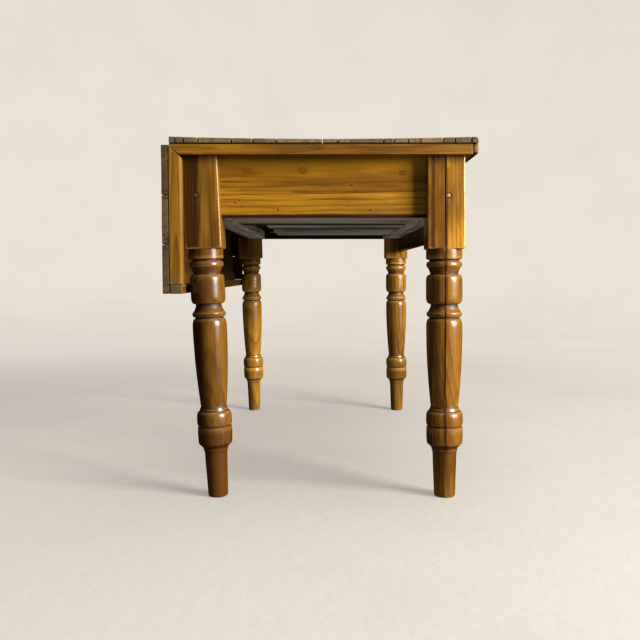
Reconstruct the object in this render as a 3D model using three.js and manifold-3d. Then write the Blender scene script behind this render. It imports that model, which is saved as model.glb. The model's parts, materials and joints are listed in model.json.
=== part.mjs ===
// Single-leaf drop leaf table in old pine: turned legs, mortised rails, one end drawer.
// Millimetres, +Z up. The origin is on the floor, under the middle of the table with its
// leaf hanging. +Y runs along the top towards the drawer end; the leaf hangs on the -X side.

import * as THREE from 'three';
import { mergeVertices } from 'three/addons/utils/BufferGeometryUtils.js';
import Module from 'manifold-3d';

const wasm = await Module();
wasm.setup();

// ---------- driving dimensions ----------

const TABLE_HEIGHT = 748;
const TOP_LENGTH = 1167;
const TOP_WIDTH = 623;
const GAP = 0.3; // left between pieces that touch
const PAST = 1; // how far a cut runs past the piece it goes through

// Top and leaf: boards with a strip under their edges
const PLANK_THICKNESS = 14;
const PLANK_SHARES = [58, 110, 141, 143, 99, 72]; // relative widths of the top's boards
const TOP_DISH = 4.5; // how far years of scrubbing have dished the middle
const TOP_EDGE_ROUND = 8;
const EDGE_DEPTH = 21.5; // height of the strips below the boards
const EDGE_WIDTH = 20;
const SIDE_EDGE_WIDTH = 12;
const LEAF_WIDTH = 300;
const LEAF_EDGE_DEPTH = 27; // how far the leaf's strips stand in from its boards
const LEAF_PLANKS = 3;
const AXIS_CLEARANCE = 1; // from the hinge axis to each board's edge
const AXIS_DROP = 1.5; // from the underside of the boards to the hinge axis
const MITRE_CLEARANCE = 0.4; // across and down, from the hinge axis to each strip's mitre

// Hinges
const HINGE_INSET = 150; // from the top's ends to the middle of the outer hinges
const HINGE_WIDTH = 60;
const PLATE_LENGTH = 34;
const PLATE_THICKNESS = 2;
const KNUCKLE_RADIUS = 3.8;
const HINGE_PIN_RADIUS = 1.9;
const KNUCKLE_CLEARANCE = 0.5; // round the barrels, in the boards
const KNUCKLE_SWEEP = 0.4; // round a knuckle, in the other plate

// Legs
const POST_SIZE = 76;
const POST_LENGTH = 210;
const POST_CHAMFER = 4;
const EDGE_CLEARANCE = 3; // from the edge strips to the posts' faces
const RIGHT_SETBACK = 24; // from the top's right edge to the posts' outer faces
const LEFT_SETBACK = 17; // from the top's left edge to the posts' outer faces
const FOOT_CUT = 16; // depth of the turner's cut at the foot
const FOOT_ROUND = 5;
const FOOT_ALLOWANCE = 1.2; // extra length that is sawn off level with the floor
const LEG_SEGMENTS = 16;

// Rails
const RAIL_THICKNESS = 22;
const RAIL_DEPTH = 143.7;
const RIGHT_RAIL_DEPTH = 184.7;
const APRON_RECESS = 25; // from the posts' end faces to the apron's face
const LEFT_RAIL_RECESS = 16;
const RIGHT_RAIL_RECESS = 13;
const TENON_THICKNESS = 9;
const TENON_SHOULDER = 16; // tenon's step in from the rail's top and bottom edges
const MORTISE_WALL = 5;
const APRON_TENON_WALL = 20; // wood left in the post past the end of the apron's tenon
const CORNER_MORTISE_DEPTH = 30;
const DRAWER_RAIL_SETBACK = 6; // from the posts' inner faces to the drawer rails' backs
const DRAWER_RAIL_HEIGHT = 22;
const DRAWER_TENON_SHOULDER = 4.4;
const PEG_RADIUS = 4.5;
const PEG_DROP = 101; // below the top of the frame
const PEG_FROM_TENON_END = 12.5;

// Swinging leaf brackets on the left rail
const FLY_THICKNESS = 16;
const FLY_RAIL_HALF_LENGTH = 70; // from the middle to each knuckle's axis
const FLY_BRACKET_LENGTH = 230;
const FLY_TOP_CLEARANCE = 2.7; // below the top of the frame
const FLY_BOTTOM_RISE = 10; // above the bottom of the left rail
const FLY_SQUARE_SHARE = 0.55; // share of a bracket's length before its foot sweeps up
const FLY_FINGERS = 5;
const FINGER_GAP = 0.5;
const FLY_PIN_RADIUS = 3;

// Boards that close the underside, and what carries the drawer
const RUNNER_WIDTH = 55;
const DUST_BOARD_THICKNESS = 12;
const BATTEN_WIDTH = 25;
const DUST_BOARD_ENDS = [[0, 0.265], [0.265, 0.42], [0.55, 0.83]]; // shares of the frame's length
const DUST_BOARD_SHORTFALL = 58; // the second and third boards stop this far from the left runner

// Drawer
const DRAWER_DEPTH = 438;
const DRAWER_GAP = 1.5;
const DRAWER_SIDE_THICKNESS = 12;
const DRAWER_BOTTOM_THICKNESS = 8;
const DRAWER_BOTTOM_RISE = 4;
const DRAWER_HEADROOM = 6;
const GROOVE_DEPTH = 5;
const KNOB_RADIUS = 17;
const KNOB_LENGTH = 26;
const SPIGOT_RADIUS = 6;
const KNOB_BASE_RADIUS = 11;
// The knob's outline above its base: control point and end of each curve, as shares of radius and length
const KNOB_CURVES = [
  [0.47, 0.15, 0.47, 0.3], [1, 0.4, 1, 0.65], [1, 0.9, 0.5, 0.97], [0.25, 1, 0, 1],
];

// Blocks that hold the top to the frame
const BLOCK_SIZE = 25;
const BLOCK_LENGTH = 80;

// The turning, downwards from the square: [drop, depth cut below the square's face, line]
const TURNING = [
  [20, 0.4, 'line'], [2.5, 7.4, 'line'], [2, 7.4, 'line'], // ring and groove under the square
  [8.5, 0.9, 'round'], [1.5, 0.9, 'line'], [3, 3.4, 'line'], // flared bead
  [4, 6, 'line'], [8.5, 8.9, 'line'], [2, 8.9, 'line'], // hollow
  [14, 0.3, 'round'], [34, 0.2, 'line'], [14.5, 9.6, 'round'], // drum
  [2.5, 10, 'line'], [6, 8.3, 'line'], [6, 5, 'line'], [4, 1.2, 'line'], // neck
  [1.5, 1.2, 'line'], [7.5, 6.6, 'round'], // bead
  [2.5, 6.9, 'line'], [18.5, 0.4, 'round'], [166, 9.4, 'belly'], // vase
  [3, 9.4, 'line'], [4.5, 6.9, 'line'], [4, 6.3, 'line'], // lip
  [16.5, -0.5, 'round'], [4, -0.5, 'line'], [10, 1.6, 'round'], // torus
  [1.5, 3.4, 'line'], [2.5, 0.4, 'line'], // scored groove
  [13, -0.2, 'line'], [14, 0.5, 'line'], [10, 3.8, 'round'], [4.5, 7.6, 'line'], [8, 11, 'hollow'], // collar
  [21.5, 13.4, 'hollow'], [42, 14.9, 'line'], // foot
];

// Each leg's place, and how far it leans: degrees that the foot stands off towards +X. No two were turned
// alike: girth is a turning's share of the full radius, and inset how far in from its side a post stands.
const LEGS = [
  { name: 'near_left', side: -1, end: -1, lean: 2.4, girth: 0.96, inset: 0 },
  { name: 'near_right', side: 1, end: -1, lean: 0.6, girth: 1, inset: 0 },
  { name: 'far_left', side: -1, end: 1, lean: 1.1, girth: 0.88, inset: 0 },
  { name: 'far_right', side: 1, end: 1, lean: 0.6, girth: 0.92, inset: 6 },
];

// ---------- dimensions that follow ----------

const halfWidth = (TOP_WIDTH + 2 * AXIS_CLEARANCE + PLANK_THICKNESS) / 2;
const halfLength = TOP_LENGTH / 2;
const topRight = halfWidth;
const topLeft = topRight - TOP_WIDTH;
const boardsUnder = TABLE_HEIGHT - PLANK_THICKNESS;
const edgeUnder = boardsUnder - EDGE_DEPTH;
const frameTop = boardsUnder - GAP;
const hingeX = topLeft - AXIS_CLEARANCE;
const hingeZ = boardsUnder - AXIS_DROP;

const halfPost = POST_SIZE / 2;
const postRight = topRight - RIGHT_SETBACK - halfPost;
const postLeft = topLeft + LEFT_SETBACK + halfPost;
const postEnd = halfLength - EDGE_WIDTH - EDGE_CLEARANCE - halfPost;
const postInner = postEnd - halfPost;
const postX = ({ side, inset }) => (side < 0 ? postLeft + inset : postRight - inset);

const railUnder = frameTop - RAIL_DEPTH;
const apronFace = postEnd + halfPost - APRON_RECESS;
const apronBack = apronFace - RAIL_THICKNESS;
const leftRail = postLeft - halfPost + LEFT_RAIL_RECESS; // outer faces of the side rails
const rightRail = postRight + halfPost - RIGHT_RAIL_RECESS;
const leftRailInner = leftRail + RAIL_THICKNESS;
const rightRailInner = rightRail - RAIL_THICKNESS;
const apronTenonDepth = POST_SIZE - APRON_TENON_WALL;
const apronTenonBack = APRON_RECESS + (RAIL_THICKNESS + TENON_THICKNESS) / 2;
const sideTenonDepth = POST_SIZE - apronTenonBack - MORTISE_WALL;

const runnerTop = railUnder + DRAWER_RAIL_HEIGHT;
const drawerRailBack = postInner + DRAWER_RAIL_SETBACK;
const runnerLeftInner = leftRailInner + GAP + RUNNER_WIDTH;
const runnerRightInner = rightRailInner - GAP - RUNNER_WIDTH;

// ---------- solids ----------

function toSolid(geometry) {
  const bare = geometry.clone();
  bare.deleteAttribute('normal');
  bare.deleteAttribute('uv');
  const welded = mergeVertices(bare, 1e-4);
  const corners = welded.index.array;
  const kept = [];
  for (let i = 0; i < corners.length; i += 3) {
    const [a, b, c] = [corners[i], corners[i + 1], corners[i + 2]];
    if (a !== b && b !== c && c !== a) kept.push(a, b, c);
  }
  return new wasm.Manifold(new wasm.Mesh({
    numProp: 3,
    vertProperties: new Float32Array(welded.attributes.position.array),
    triVerts: new Uint32Array(kept),
  }));
}

function toGeometry(solid) {
  const mesh = solid.getMesh();
  const geometry = new THREE.BufferGeometry();
  geometry.setAttribute('position', new THREE.BufferAttribute(new Float32Array(mesh.vertProperties), 3));
  geometry.setIndex(new THREE.BufferAttribute(new Uint32Array(mesh.triVerts), 1));
  return geometry;
}

function boxShape([x0, x1], [y0, y1], [z0, z1]) {
  const geometry = new THREE.BoxGeometry(x1 - x0, y1 - y0, z1 - z0);
  return geometry.translate((x0 + x1) / 2, (y0 + y1) / 2, (z0 + z1) / 2);
}

const boxSolid = (xs, ys, zs) => toSolid(boxShape(xs, ys, zs));

// A round bar along Y between two places, or along Z when upright
function barShape(radius, [start, end], x, z, segments = 12) {
  const geometry = new THREE.CylinderGeometry(radius, radius, end - start, segments);
  return geometry.translate(x, (start + end) / 2, z);
}

function uprightBar(radius, [start, end], x, y, segments = 12) {
  const geometry = new THREE.CylinderGeometry(radius, radius, end - start, segments);
  return geometry.rotateX(Math.PI / 2).translate(x, y, (start + end) / 2);
}

// An outline in X and Z, drawn out along Y about the middle
function alongY(shape, length) {
  const geometry = new THREE.ExtrudeGeometry(shape, { depth: length, bevelEnabled: false, curveSegments: 4 });
  return geometry.translate(0, 0, -length / 2).rotateX(Math.PI / 2);
}

// An outline in Y and Z, drawn out along X from x0 to x1
function alongX(shape, [x0, x1]) {
  const geometry = new THREE.ExtrudeGeometry(shape, { depth: x1 - x0, bevelEnabled: false, curveSegments: 6 });
  return geometry.rotateX(Math.PI / 2).rotateZ(Math.PI / 2).translate(x0, 0, 0);
}

function outline(points) {
  return new THREE.Shape(points.map(([across, up]) => new THREE.Vector2(across, up)));
}

// ---------- the scene graph ----------

const FINISH = {
  top: [0x7c5a34, 0.6],
  edge: [0x8f5a22, 0.45],
  leg: [0x8a4f1c, 0.4],
  apron: [0xa87526, 0.45],
  dusty: [0x8b8175, 0.85],
  raw: [0xa98554, 0.8],
  peg: [0xb98a4c, 0.6],
  iron: [0x3a3532, 0.55],
};

const table = new THREE.Group();

const leaf = new THREE.Group();
leaf.position.set(hingeX, 0, hingeZ);
table.add(leaf);

const drawer = new THREE.Group();
table.add(drawer);

// Puts a piece in its group, with its own middle as its position
function place(parent, name, finish, shape) {
  const geometry = shape.isBufferGeometry ? shape : toGeometry(shape);
  geometry.computeBoundingBox();
  const middle = geometry.boundingBox.getCenter(new THREE.Vector3());
  geometry.translate(-middle.x, -middle.y, -middle.z);
  geometry.computeVertexNormals();
  const [color, roughness] = FINISH[finish];
  const metalness = finish === 'iron' ? 0.8 : 0;
  const mesh = new THREE.Mesh(geometry, new THREE.MeshStandardMaterial({ color, roughness, metalness }));
  mesh.name = name;
  mesh.position.copy(middle);
  parent.add(mesh);
}

// ---------- top and leaf ----------

const hingePlaces = [
  ['near', -halfLength + HINGE_INSET], ['middle', 0], ['far', halfLength - HINGE_INSET],
];

// Room for the hinge barrels along an axis at x, z
function cutBarrels(solid, x, z) {
  const half = HINGE_WIDTH / 2 + KNUCKLE_CLEARANCE;
  return hingePlaces.reduce((rest, [, y]) => (
    rest.subtract(toSolid(barShape(KNUCKLE_RADIUS + KNUCKLE_CLEARANCE, [y - half, y + half], x, z)))
  ), solid);
}

const middleX = (topLeft + topRight) / 2;
const surfaceAt = (x) => TABLE_HEIGHT - TOP_DISH * (1 - ((x - middleX) / (TOP_WIDTH / 2)) ** 2);

function makeTopPlanks() {
  const whole = PLANK_SHARES.reduce((sum, share) => sum + share, 0);
  let left = topLeft;
  PLANK_SHARES.forEach((share, index) => {
    const isLast = index === PLANK_SHARES.length - 1;
    const next = left + (share / whole) * TOP_WIDTH;
    const right = isLast ? next : next - GAP;
    const section = new THREE.Shape();
    section.moveTo(left, boardsUnder);
    section.lineTo(right, boardsUnder);
    if (isLast) {
      section.lineTo(right, TABLE_HEIGHT - TOP_EDGE_ROUND);
      section.quadraticCurveTo(right, TABLE_HEIGHT, right - TOP_EDGE_ROUND, TABLE_HEIGHT);
    } else {
      section.lineTo(right, surfaceAt(right));
    }
    section.lineTo((left + right) / 2, surfaceAt((left + right) / 2));
    section.lineTo(left, surfaceAt(left));
    let board = toSolid(alongY(section, TOP_LENGTH));
    if (index === 0) board = cutBarrels(board, hingeX, hingeZ);
    place(table, `top_plank_${index + 1}`, 'top', board);
    left = next;
  });
}

// Strips under the top's edges. Those at the ends are cut at 45 degrees where the leaf swings.
function makeTopEdges() {
  const sideStrip = topRight - SIDE_EDGE_WIDTH;
  const top = boardsUnder - GAP;
  place(table, 'top_edge_right', 'edge', boxShape([sideStrip, topRight], [-halfLength, halfLength], [edgeUnder, top]));
  const left = topLeft + GAP;
  const mitre = hingeX + hingeZ + MITRE_CLEARANCE; // across plus up is the same all along the mitre
  const section = outline([
    [mitre - edgeUnder, edgeUnder], [sideStrip - GAP, edgeUnder], [sideStrip - GAP, top], [left, top], [left, mitre - left],
  ]);
  for (const [end, sign] of [['near', -1], ['far', 1]]) {
    const strip = alongY(section, EDGE_WIDTH).translate(0, sign * (halfLength - EDGE_WIDTH / 2), 0);
    place(table, `top_edge_${end}`, 'edge', strip);
  }
}

// The leaf hangs: its group's origin is the hinge axis, and its boards lie one under another
function makeLeaf() {
  const inner = -AXIS_CLEARANCE;
  const outer = inner - PLANK_THICKNESS;
  const upper = -AXIS_CLEARANCE;
  const lower = upper - LEAF_WIDTH;
  const board = LEAF_WIDTH / LEAF_PLANKS;
  for (let index = 0; index < LEAF_PLANKS; index += 1) {
    const top = upper - index * board;
    const bottom = index === LEAF_PLANKS - 1 ? lower : top - board + GAP;
    let plank = boxSolid([outer, inner], [-halfLength, halfLength], [bottom, top]);
    if (index === 0) plank = cutBarrels(plank, 0, 0);
    place(leaf, `leaf_plank_${index + 1}`, 'top', plank);
  }
  const stripOuter = inner + GAP;
  const stripInner = inner + LEAF_EDGE_DEPTH;
  const outerStripTop = lower + EDGE_WIDTH;
  place(leaf, 'leaf_edge_outer', 'edge',
    boxShape([stripOuter, stripInner], [-halfLength, halfLength], [lower, outerStripTop]));
  const stripTop = upper - GAP;
  const section = outline([
    [stripOuter, outerStripTop + GAP], [stripInner, outerStripTop + GAP], [stripInner, -MITRE_CLEARANCE - stripInner],
    [-MITRE_CLEARANCE - stripTop, stripTop], [stripOuter, stripTop],
  ]);
  for (const [end, sign] of [['near', -1], ['far', 1]]) {
    const strip = alongY(section, EDGE_WIDTH).translate(0, sign * (halfLength - EDGE_WIDTH / 2), 0);
    place(leaf, `leaf_edge_${end}`, 'edge', strip);
  }
}

// A butt hinge: the fixed plate has the two outer knuckles, the leaf's plate has the middle one
function makeHinge(name, y) {
  const third = HINGE_WIDTH / 3;
  const start = y - HINGE_WIDTH / 2;
  const end = y + HINGE_WIDTH / 2;
  const knuckles = [
    [start, start + third], [start + third + GAP, end - third - GAP], [end - third, end],
  ];
  const barrel = ([from, to], radius) => toSolid(barShape(radius, [from, to], 0, 0));
  const bore = barrel([start - PAST, end + PAST], HINGE_PIN_RADIUS + GAP);
  const roomFor = ([from, to]) => barrel([from - GAP, to + GAP], KNUCKLE_RADIUS + KNUCKLE_SWEEP);

  const face = AXIS_DROP - GAP; // the fixed plate's screwed side, up against the boards
  const fixed = boxSolid([0, PLATE_LENGTH], [start, end], [face - PLATE_THICKNESS, face])
    .subtract(roomFor(knuckles[1]))
    .add(barrel(knuckles[0], KNUCKLE_RADIUS))
    .add(barrel(knuckles[2], KNUCKLE_RADIUS))
    .subtract(bore);
  const onLeaf = GAP - AXIS_CLEARANCE; // the leaf plate's screwed side
  const swinging = boxSolid([onLeaf, onLeaf + PLATE_THICKNESS], [start, end], [-PLATE_LENGTH, 0])
    .subtract(roomFor(knuckles[0]))
    .subtract(roomFor(knuckles[2]))
    .add(barrel(knuckles[1], KNUCKLE_RADIUS))
    .subtract(bore);

  const onTable = new THREE.Group();
  onTable.position.set(hingeX, 0, hingeZ);
  table.add(onTable);
  place(onTable, `hinge_${name}_top_plate`, 'iron', fixed);
  place(onTable, `hinge_${name}_pin`, 'iron', barShape(HINGE_PIN_RADIUS, [start, end], 0, 0));
  place(leaf, `hinge_${name}_leaf_plate`, 'iron', swinging);
}

// ---------- legs ----------

// A leg's group turns about the middle of its post's top
function legFrame(leg) {
  const group = new THREE.Group();
  group.position.set(postX(leg), leg.end * postEnd, frameTop);
  group.rotation.y = -THREE.MathUtils.degToRad(leg.lean);
  group.updateMatrix();
  return group;
}

// The turned outline, from the foot's middle up to a point inside the square
function turnedOutline(girth) {
  const path = new THREE.Path();
  let radius = (halfPost - TURNING[0][1]) * girth;
  let height = -POST_LENGTH;
  path.moveTo(0, height + FOOT_ROUND);
  path.lineTo(radius, height + FOOT_ROUND);
  path.lineTo(radius, height);
  for (const [drop, cut, line] of TURNING) {
    const nextRadius = (halfPost - cut) * girth;
    const nextHeight = height - drop;
    const wide = Math.max(radius, nextRadius);
    const slim = Math.min(radius, nextRadius);
    const atWide = radius > nextRadius ? height : nextHeight;
    const atSlim = radius > nextRadius ? nextHeight : height;
    if (line === 'line') path.lineTo(nextRadius, nextHeight);
    if (line === 'round') path.quadraticCurveTo(wide, atSlim, nextRadius, nextHeight);
    if (line === 'hollow') path.quadraticCurveTo(slim, atWide, nextRadius, nextHeight);
    if (line === 'belly') {
      const middle = new THREE.Vector2(wide, (height + nextHeight) / 2);
      path.splineThru([1 / 3, 2 / 3, 1].map((t) => new THREE.Vector2(
        (1 - t) ** 2 * radius + 2 * t * (1 - t) * middle.x + t * t * nextRadius,
        (1 - t) ** 2 * height + 2 * t * (1 - t) * middle.y + t * t * nextHeight,
      )));
    }
    radius = nextRadius;
    height = nextHeight;
  }
  const floor = -frameTop - FOOT_ALLOWANCE;
  const footRadius = (halfPost - FOOT_CUT) * girth;
  path.lineTo(footRadius, floor + FOOT_ROUND);
  path.quadraticCurveTo(footRadius, floor, footRadius - FOOT_ROUND / 2, floor);
  path.lineTo(0, floor);
  return path.getPoints(2).reverse();
}

function squareSection() {
  const face = halfPost - POST_CHAMFER;
  return outline([
    [-face, -halfPost], [face, -halfPost], [halfPost, -face], [halfPost, face],
    [face, halfPost], [-face, halfPost], [-halfPost, face], [-halfPost, -face],
  ]);
}

// The room that a leg's post takes up in the frame, with a margin all round
function postRoom(leg, margin) {
  const half = halfPost + margin;
  const room = boxShape([-half, half], [-half, half], [-POST_LENGTH - margin, half]);
  return toSolid(room.applyMatrix4(legFrame(leg).matrix));
}

const legAt = (name) => LEGS.find((leg) => leg.name === name);

function makeLeg(leg, mortises) {
  const group = legFrame(leg);
  const intoLeg = group.matrix.clone().invert();
  const turned = new THREE.LatheGeometry(turnedOutline(leg.girth), LEG_SEGMENTS).rotateX(Math.PI / 2);
  const square = new THREE.ExtrudeGeometry(squareSection(), { depth: POST_LENGTH + halfPost, bevelEnabled: false });
  square.translate(0, 0, -POST_LENGTH);
  let solid = toSolid(turned).add(toSolid(square));
  const reach = POST_SIZE * 2;
  const keep = boxShape([-reach, reach], [-reach, reach], [0, frameTop])
    .translate(group.position.x, group.position.y, 0)
    .applyMatrix4(intoLeg);
  solid = solid.intersect(toSolid(keep));
  for (const mortise of mortises) {
    solid = solid.subtract(toSolid(mortise.clone().applyMatrix4(intoLeg)));
  }
  table.add(group);
  place(group, `leg_${leg.name}`, 'leg', solid);
}

// ---------- rails, tenons and pegs ----------

// Each joint has a tenon box, and the mortise is that box with a margin
const mortises = Object.fromEntries(LEGS.map(({ name }) => [name, []]));

function tenon(legName, xs, ys, zs) {
  const grown = ([low, high]) => [low - GAP, high + GAP];
  mortises[legName].push(boxShape(grown(xs), grown(ys), grown(zs)));
  return boxSolid(xs, ys, zs);
}

// A rail across the table between two posts, cut to their leaning faces
function crossRail(end, face, back, [bottom, top], tenonDepth, shoulder) {
  const ys = end < 0 ? [-face, -back] : [back, face];
  const [left, right] = LEGS.filter((leg) => leg.end === end);
  const middle = end * (end < 0 ? face - RAIL_THICKNESS / 2 : (face + back) / 2);
  const tenonYs = [middle - TENON_THICKNESS / 2, middle + TENON_THICKNESS / 2];
  const tenonZs = [bottom + shoulder, top - shoulder];
  const leftInner = postX(left) + halfPost;
  const rightInner = postX(right) - halfPost;
  return boxSolid([postX(left), postX(right)], ys, [bottom, top])
    .subtract(postRoom(left, GAP))
    .subtract(postRoom(right, GAP))
    .add(tenon(left.name, [leftInner - tenonDepth, leftInner + halfPost], tenonYs, tenonZs))
    .add(tenon(right.name, [rightInner - halfPost, rightInner + tenonDepth], tenonYs, tenonZs));
}

// A peg along Y through a post and the tenon in it
function pegShape(legName, x, z, depth, margin) {
  const start = postEnd + halfPost - GAP;
  const end = start - depth;
  const span = legAt(legName).end < 0 ? [-start - margin, -end + margin] : [end - margin, start + margin];
  return barShape(PEG_RADIUS + margin, span, x, z);
}

function drillPeg(solid, legName, fromInner, z, depth) {
  const leg = legAt(legName);
  const x = postX(leg) - leg.side * (halfPost - fromInner);
  const hole = pegShape(legName, x, z, depth, GAP);
  mortises[legName].push(hole);
  place(table, `peg_${legName}`, 'peg', pegShape(legName, x, z, depth, 0));
  return solid.subtract(toSolid(hole));
}

function makeApron() {
  let apron = crossRail(-1, apronFace, apronBack, [railUnder, frameTop], apronTenonDepth, TENON_SHOULDER);
  const fromInner = apronTenonDepth - PEG_FROM_TENON_END;
  const pegZ = frameTop - PEG_DROP;
  const depth = apronTenonBack + MORTISE_WALL / 2;
  apron = drillPeg(apron, 'near_left', fromInner, pegZ, depth);
  apron = drillPeg(apron, 'near_right', fromInner, pegZ, depth);
  place(table, 'apron_near', 'apron', apron);
}

function makeDrawerRails() {
  const topRail = crossRail(1, apronFace, drawerRailBack,
    [frameTop - DRAWER_RAIL_HEIGHT, frameTop], CORNER_MORTISE_DEPTH, DRAWER_TENON_SHOULDER);
  place(table, 'drawer_rail_top', 'apron', topRail);
  let bottomRail = crossRail(1, apronFace, drawerRailBack,
    [railUnder, runnerTop], CORNER_MORTISE_DEPTH, DRAWER_TENON_SHOULDER);
  const pegZ = (railUnder + runnerTop) / 2;
  const tenonBack = (apronFace + drawerRailBack - TENON_THICKNESS) / 2;
  const depth = postEnd + halfPost - tenonBack + GAP;
  const fromInner = CORNER_MORTISE_DEPTH / 2;
  bottomRail = drillPeg(bottomRail, 'far_left', fromInner, pegZ, depth);
  bottomRail = drillPeg(bottomRail, 'far_right', fromInner, pegZ, depth);
  place(table, 'drawer_rail_bottom', 'apron', bottomRail);
}

function makeSideRail(name, side, outer, inner, depth) {
  const xs = side < 0 ? [outer, inner] : [inner, outer];
  const bottom = frameTop - depth;
  const middle = (outer + inner) / 2;
  const tenonXs = [middle - TENON_THICKNESS / 2, middle + TENON_THICKNESS / 2];
  const tenonZs = [bottom + TENON_SHOULDER, frameTop - TENON_SHOULDER];
  const shoulderY = postInner - GAP;
  const word = side < 0 ? 'left' : 'right';
  const rail = boxSolid(xs, [-shoulderY, shoulderY], [bottom, frameTop])
    .add(tenon(`near_${word}`, tenonXs, [-postInner - sideTenonDepth, -shoulderY + PAST], tenonZs))
    .add(tenon(`far_${word}`, tenonXs, [shoulderY - PAST, postInner + sideTenonDepth], tenonZs));
  place(table, name, 'apron', rail);
}

// ---------- swinging brackets ----------

function makeFlyRail() {
  const inner = leftRail - GAP;
  const outer = inner - FLY_THICKNESS;
  const pivotX = (inner + outer) / 2;
  const round = FLY_THICKNESS / 2;
  const bottom = railUnder + FLY_BOTTOM_RISE;
  const top = frameTop - FLY_TOP_CLEARANCE;
  const finger = (top - bottom) / FLY_FINGERS;
  const tip = FLY_RAIL_HALF_LENGTH + FLY_BRACKET_LENGTH;
  const bore = (y) => toSolid(uprightBar(FLY_PIN_RADIUS + GAP, [bottom - PAST, top + PAST], pivotX, y));
  const knuckle = (y) => toSolid(uprightBar(round, [bottom, top], pivotX, y, 16));

  // The gaps between one piece's fingers, where the other's fingers turn
  const cutFingers = (solid, isCut, ys) => {
    let rest = solid;
    for (let index = 0; index < FLY_FINGERS; index += 1) {
      if (isCut(index)) {
        const low = index === 0 ? bottom - PAST : bottom + index * finger - FINGER_GAP / 2;
        const high = index === FLY_FINGERS - 1 ? top + PAST : bottom + (index + 1) * finger + FINGER_GAP / 2;
        rest = rest.subtract(boxSolid([outer - PAST, inner + PAST], ys, [low, high]));
      }
    }
    return rest;
  };

  const pivot = FLY_RAIL_HALF_LENGTH;
  const clear = round + FINGER_GAP;
  let fixed = boxSolid([outer, inner], [-pivot, pivot], [bottom, top]).add(knuckle(-pivot)).add(knuckle(pivot));
  fixed = cutFingers(fixed, (index) => index % 2 === 1, [pivot - clear, pivot + clear]);
  fixed = cutFingers(fixed, (index) => index % 2 === 1, [-pivot - clear, -pivot + clear]);
  place(table, 'fly_rail', 'raw', fixed.subtract(bore(pivot)).subtract(bore(-pivot)));

  // The bracket's foot sweeps up in an ogee to a square tip
  const drop = (top - bottom) / 4;
  const bend = pivot + (tip - pivot) * FLY_SQUARE_SHARE;
  const shape = new THREE.Shape();
  shape.moveTo(pivot, bottom);
  shape.lineTo(bend, bottom);
  shape.quadraticCurveTo((bend + tip) / 2, bottom, (bend + tip) / 2, (bottom + top - drop) / 2);
  shape.quadraticCurveTo((bend + tip) / 2, top - drop, tip, top - drop);
  shape.lineTo(tip, top);
  shape.lineTo(pivot, top);
  const far = cutFingers(
    toSolid(alongX(shape, [outer, inner])).add(knuckle(pivot)),
    (index) => index % 2 === 0,
    [pivot - clear, pivot + clear],
  ).subtract(bore(pivot));
  place(table, 'fly_bracket_far', 'raw', far);
  const mirrored = shape.getPoints(6).map(({ x, y }) => [-x, y]).reverse();
  const near = cutFingers(
    toSolid(alongX(outline(mirrored), [outer, inner])).add(knuckle(-pivot)),
    (index) => index % 2 === 0,
    [-pivot - clear, -pivot + clear],
  ).subtract(bore(-pivot));
  place(table, 'fly_bracket_near', 'raw', near);
  place(table, 'fly_pin_near', 'iron', uprightBar(FLY_PIN_RADIUS, [bottom, top], pivotX, -pivot));
  place(table, 'fly_pin_far', 'iron', uprightBar(FLY_PIN_RADIUS, [bottom, top], pivotX, pivot));
}

// ---------- underside ----------

function makeUnderside() {
  const start = -apronBack + GAP;
  const end = drawerRailBack - GAP;
  for (const [word, xs] of [
    ['left', [leftRailInner + GAP, runnerLeftInner]], ['right', [runnerRightInner, rightRailInner - GAP]],
  ]) {
    const runner = boxSolid(xs, [start, end], [railUnder, runnerTop])
      .subtract(postRoom(legAt(`near_${word}`), GAP))
      .subtract(postRoom(legAt(`far_${word}`), GAP));
    place(table, `runner_${word}`, 'dusty', runner);
  }
  const boardTop = railUnder + DUST_BOARD_THICKNESS;
  const wide = [runnerLeftInner + GAP, runnerRightInner - GAP];
  const short = [runnerLeftInner + DUST_BOARD_SHORTFALL, runnerRightInner - GAP];
  DUST_BOARD_ENDS.forEach(([from, to], index) => {
    const ys = [start + from * (end - start), start + to * (end - start) - GAP];
    place(table, `dust_board_${index + 1}`, 'dusty', boxShape(index === 0 ? wide : short, ys, [railUnder, boardTop]));
  });
  const battenZs = [boardTop + GAP, runnerTop - GAP];
  place(table, 'batten_left', 'raw', boxShape([short[0], short[0] + BATTEN_WIDTH], [start, end], battenZs));
  place(table, 'batten_right', 'raw', boxShape([short[1] - BATTEN_WIDTH, short[1]], [start, end], battenZs));
}

function makeTopBlocks() {
  const zs = [frameTop - BLOCK_SIZE, frameTop];
  const half = BLOCK_LENGTH / 2;
  const nearY = -apronBack + GAP;
  const leftX = leftRailInner + GAP;
  const rightX = rightRailInner - GAP;
  place(table, 'top_block_near', 'raw', boxShape([-half, half], [nearY, nearY + BLOCK_SIZE], zs));
  place(table, 'top_block_left', 'raw', boxShape([leftX, leftX + BLOCK_SIZE], [-half, half], zs));
  place(table, 'top_block_right', 'raw', boxShape([rightX - BLOCK_SIZE, rightX], [-half, half], zs));
}

// ---------- drawer ----------

function knobShape() {
  const path = new THREE.Path();
  path.moveTo(0, GAP - RAIL_THICKNESS);
  path.lineTo(SPIGOT_RADIUS, GAP - RAIL_THICKNESS);
  path.lineTo(SPIGOT_RADIUS, GAP);
  path.lineTo(KNOB_BASE_RADIUS, GAP);
  for (const [controlRadius, controlHeight, radius, height] of KNOB_CURVES) {
    path.quadraticCurveTo(controlRadius * KNOB_RADIUS, controlHeight * KNOB_LENGTH,
      radius * KNOB_RADIUS, height * KNOB_LENGTH);
  }
  return new THREE.LatheGeometry(path.getPoints(3), 20);
}

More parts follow.
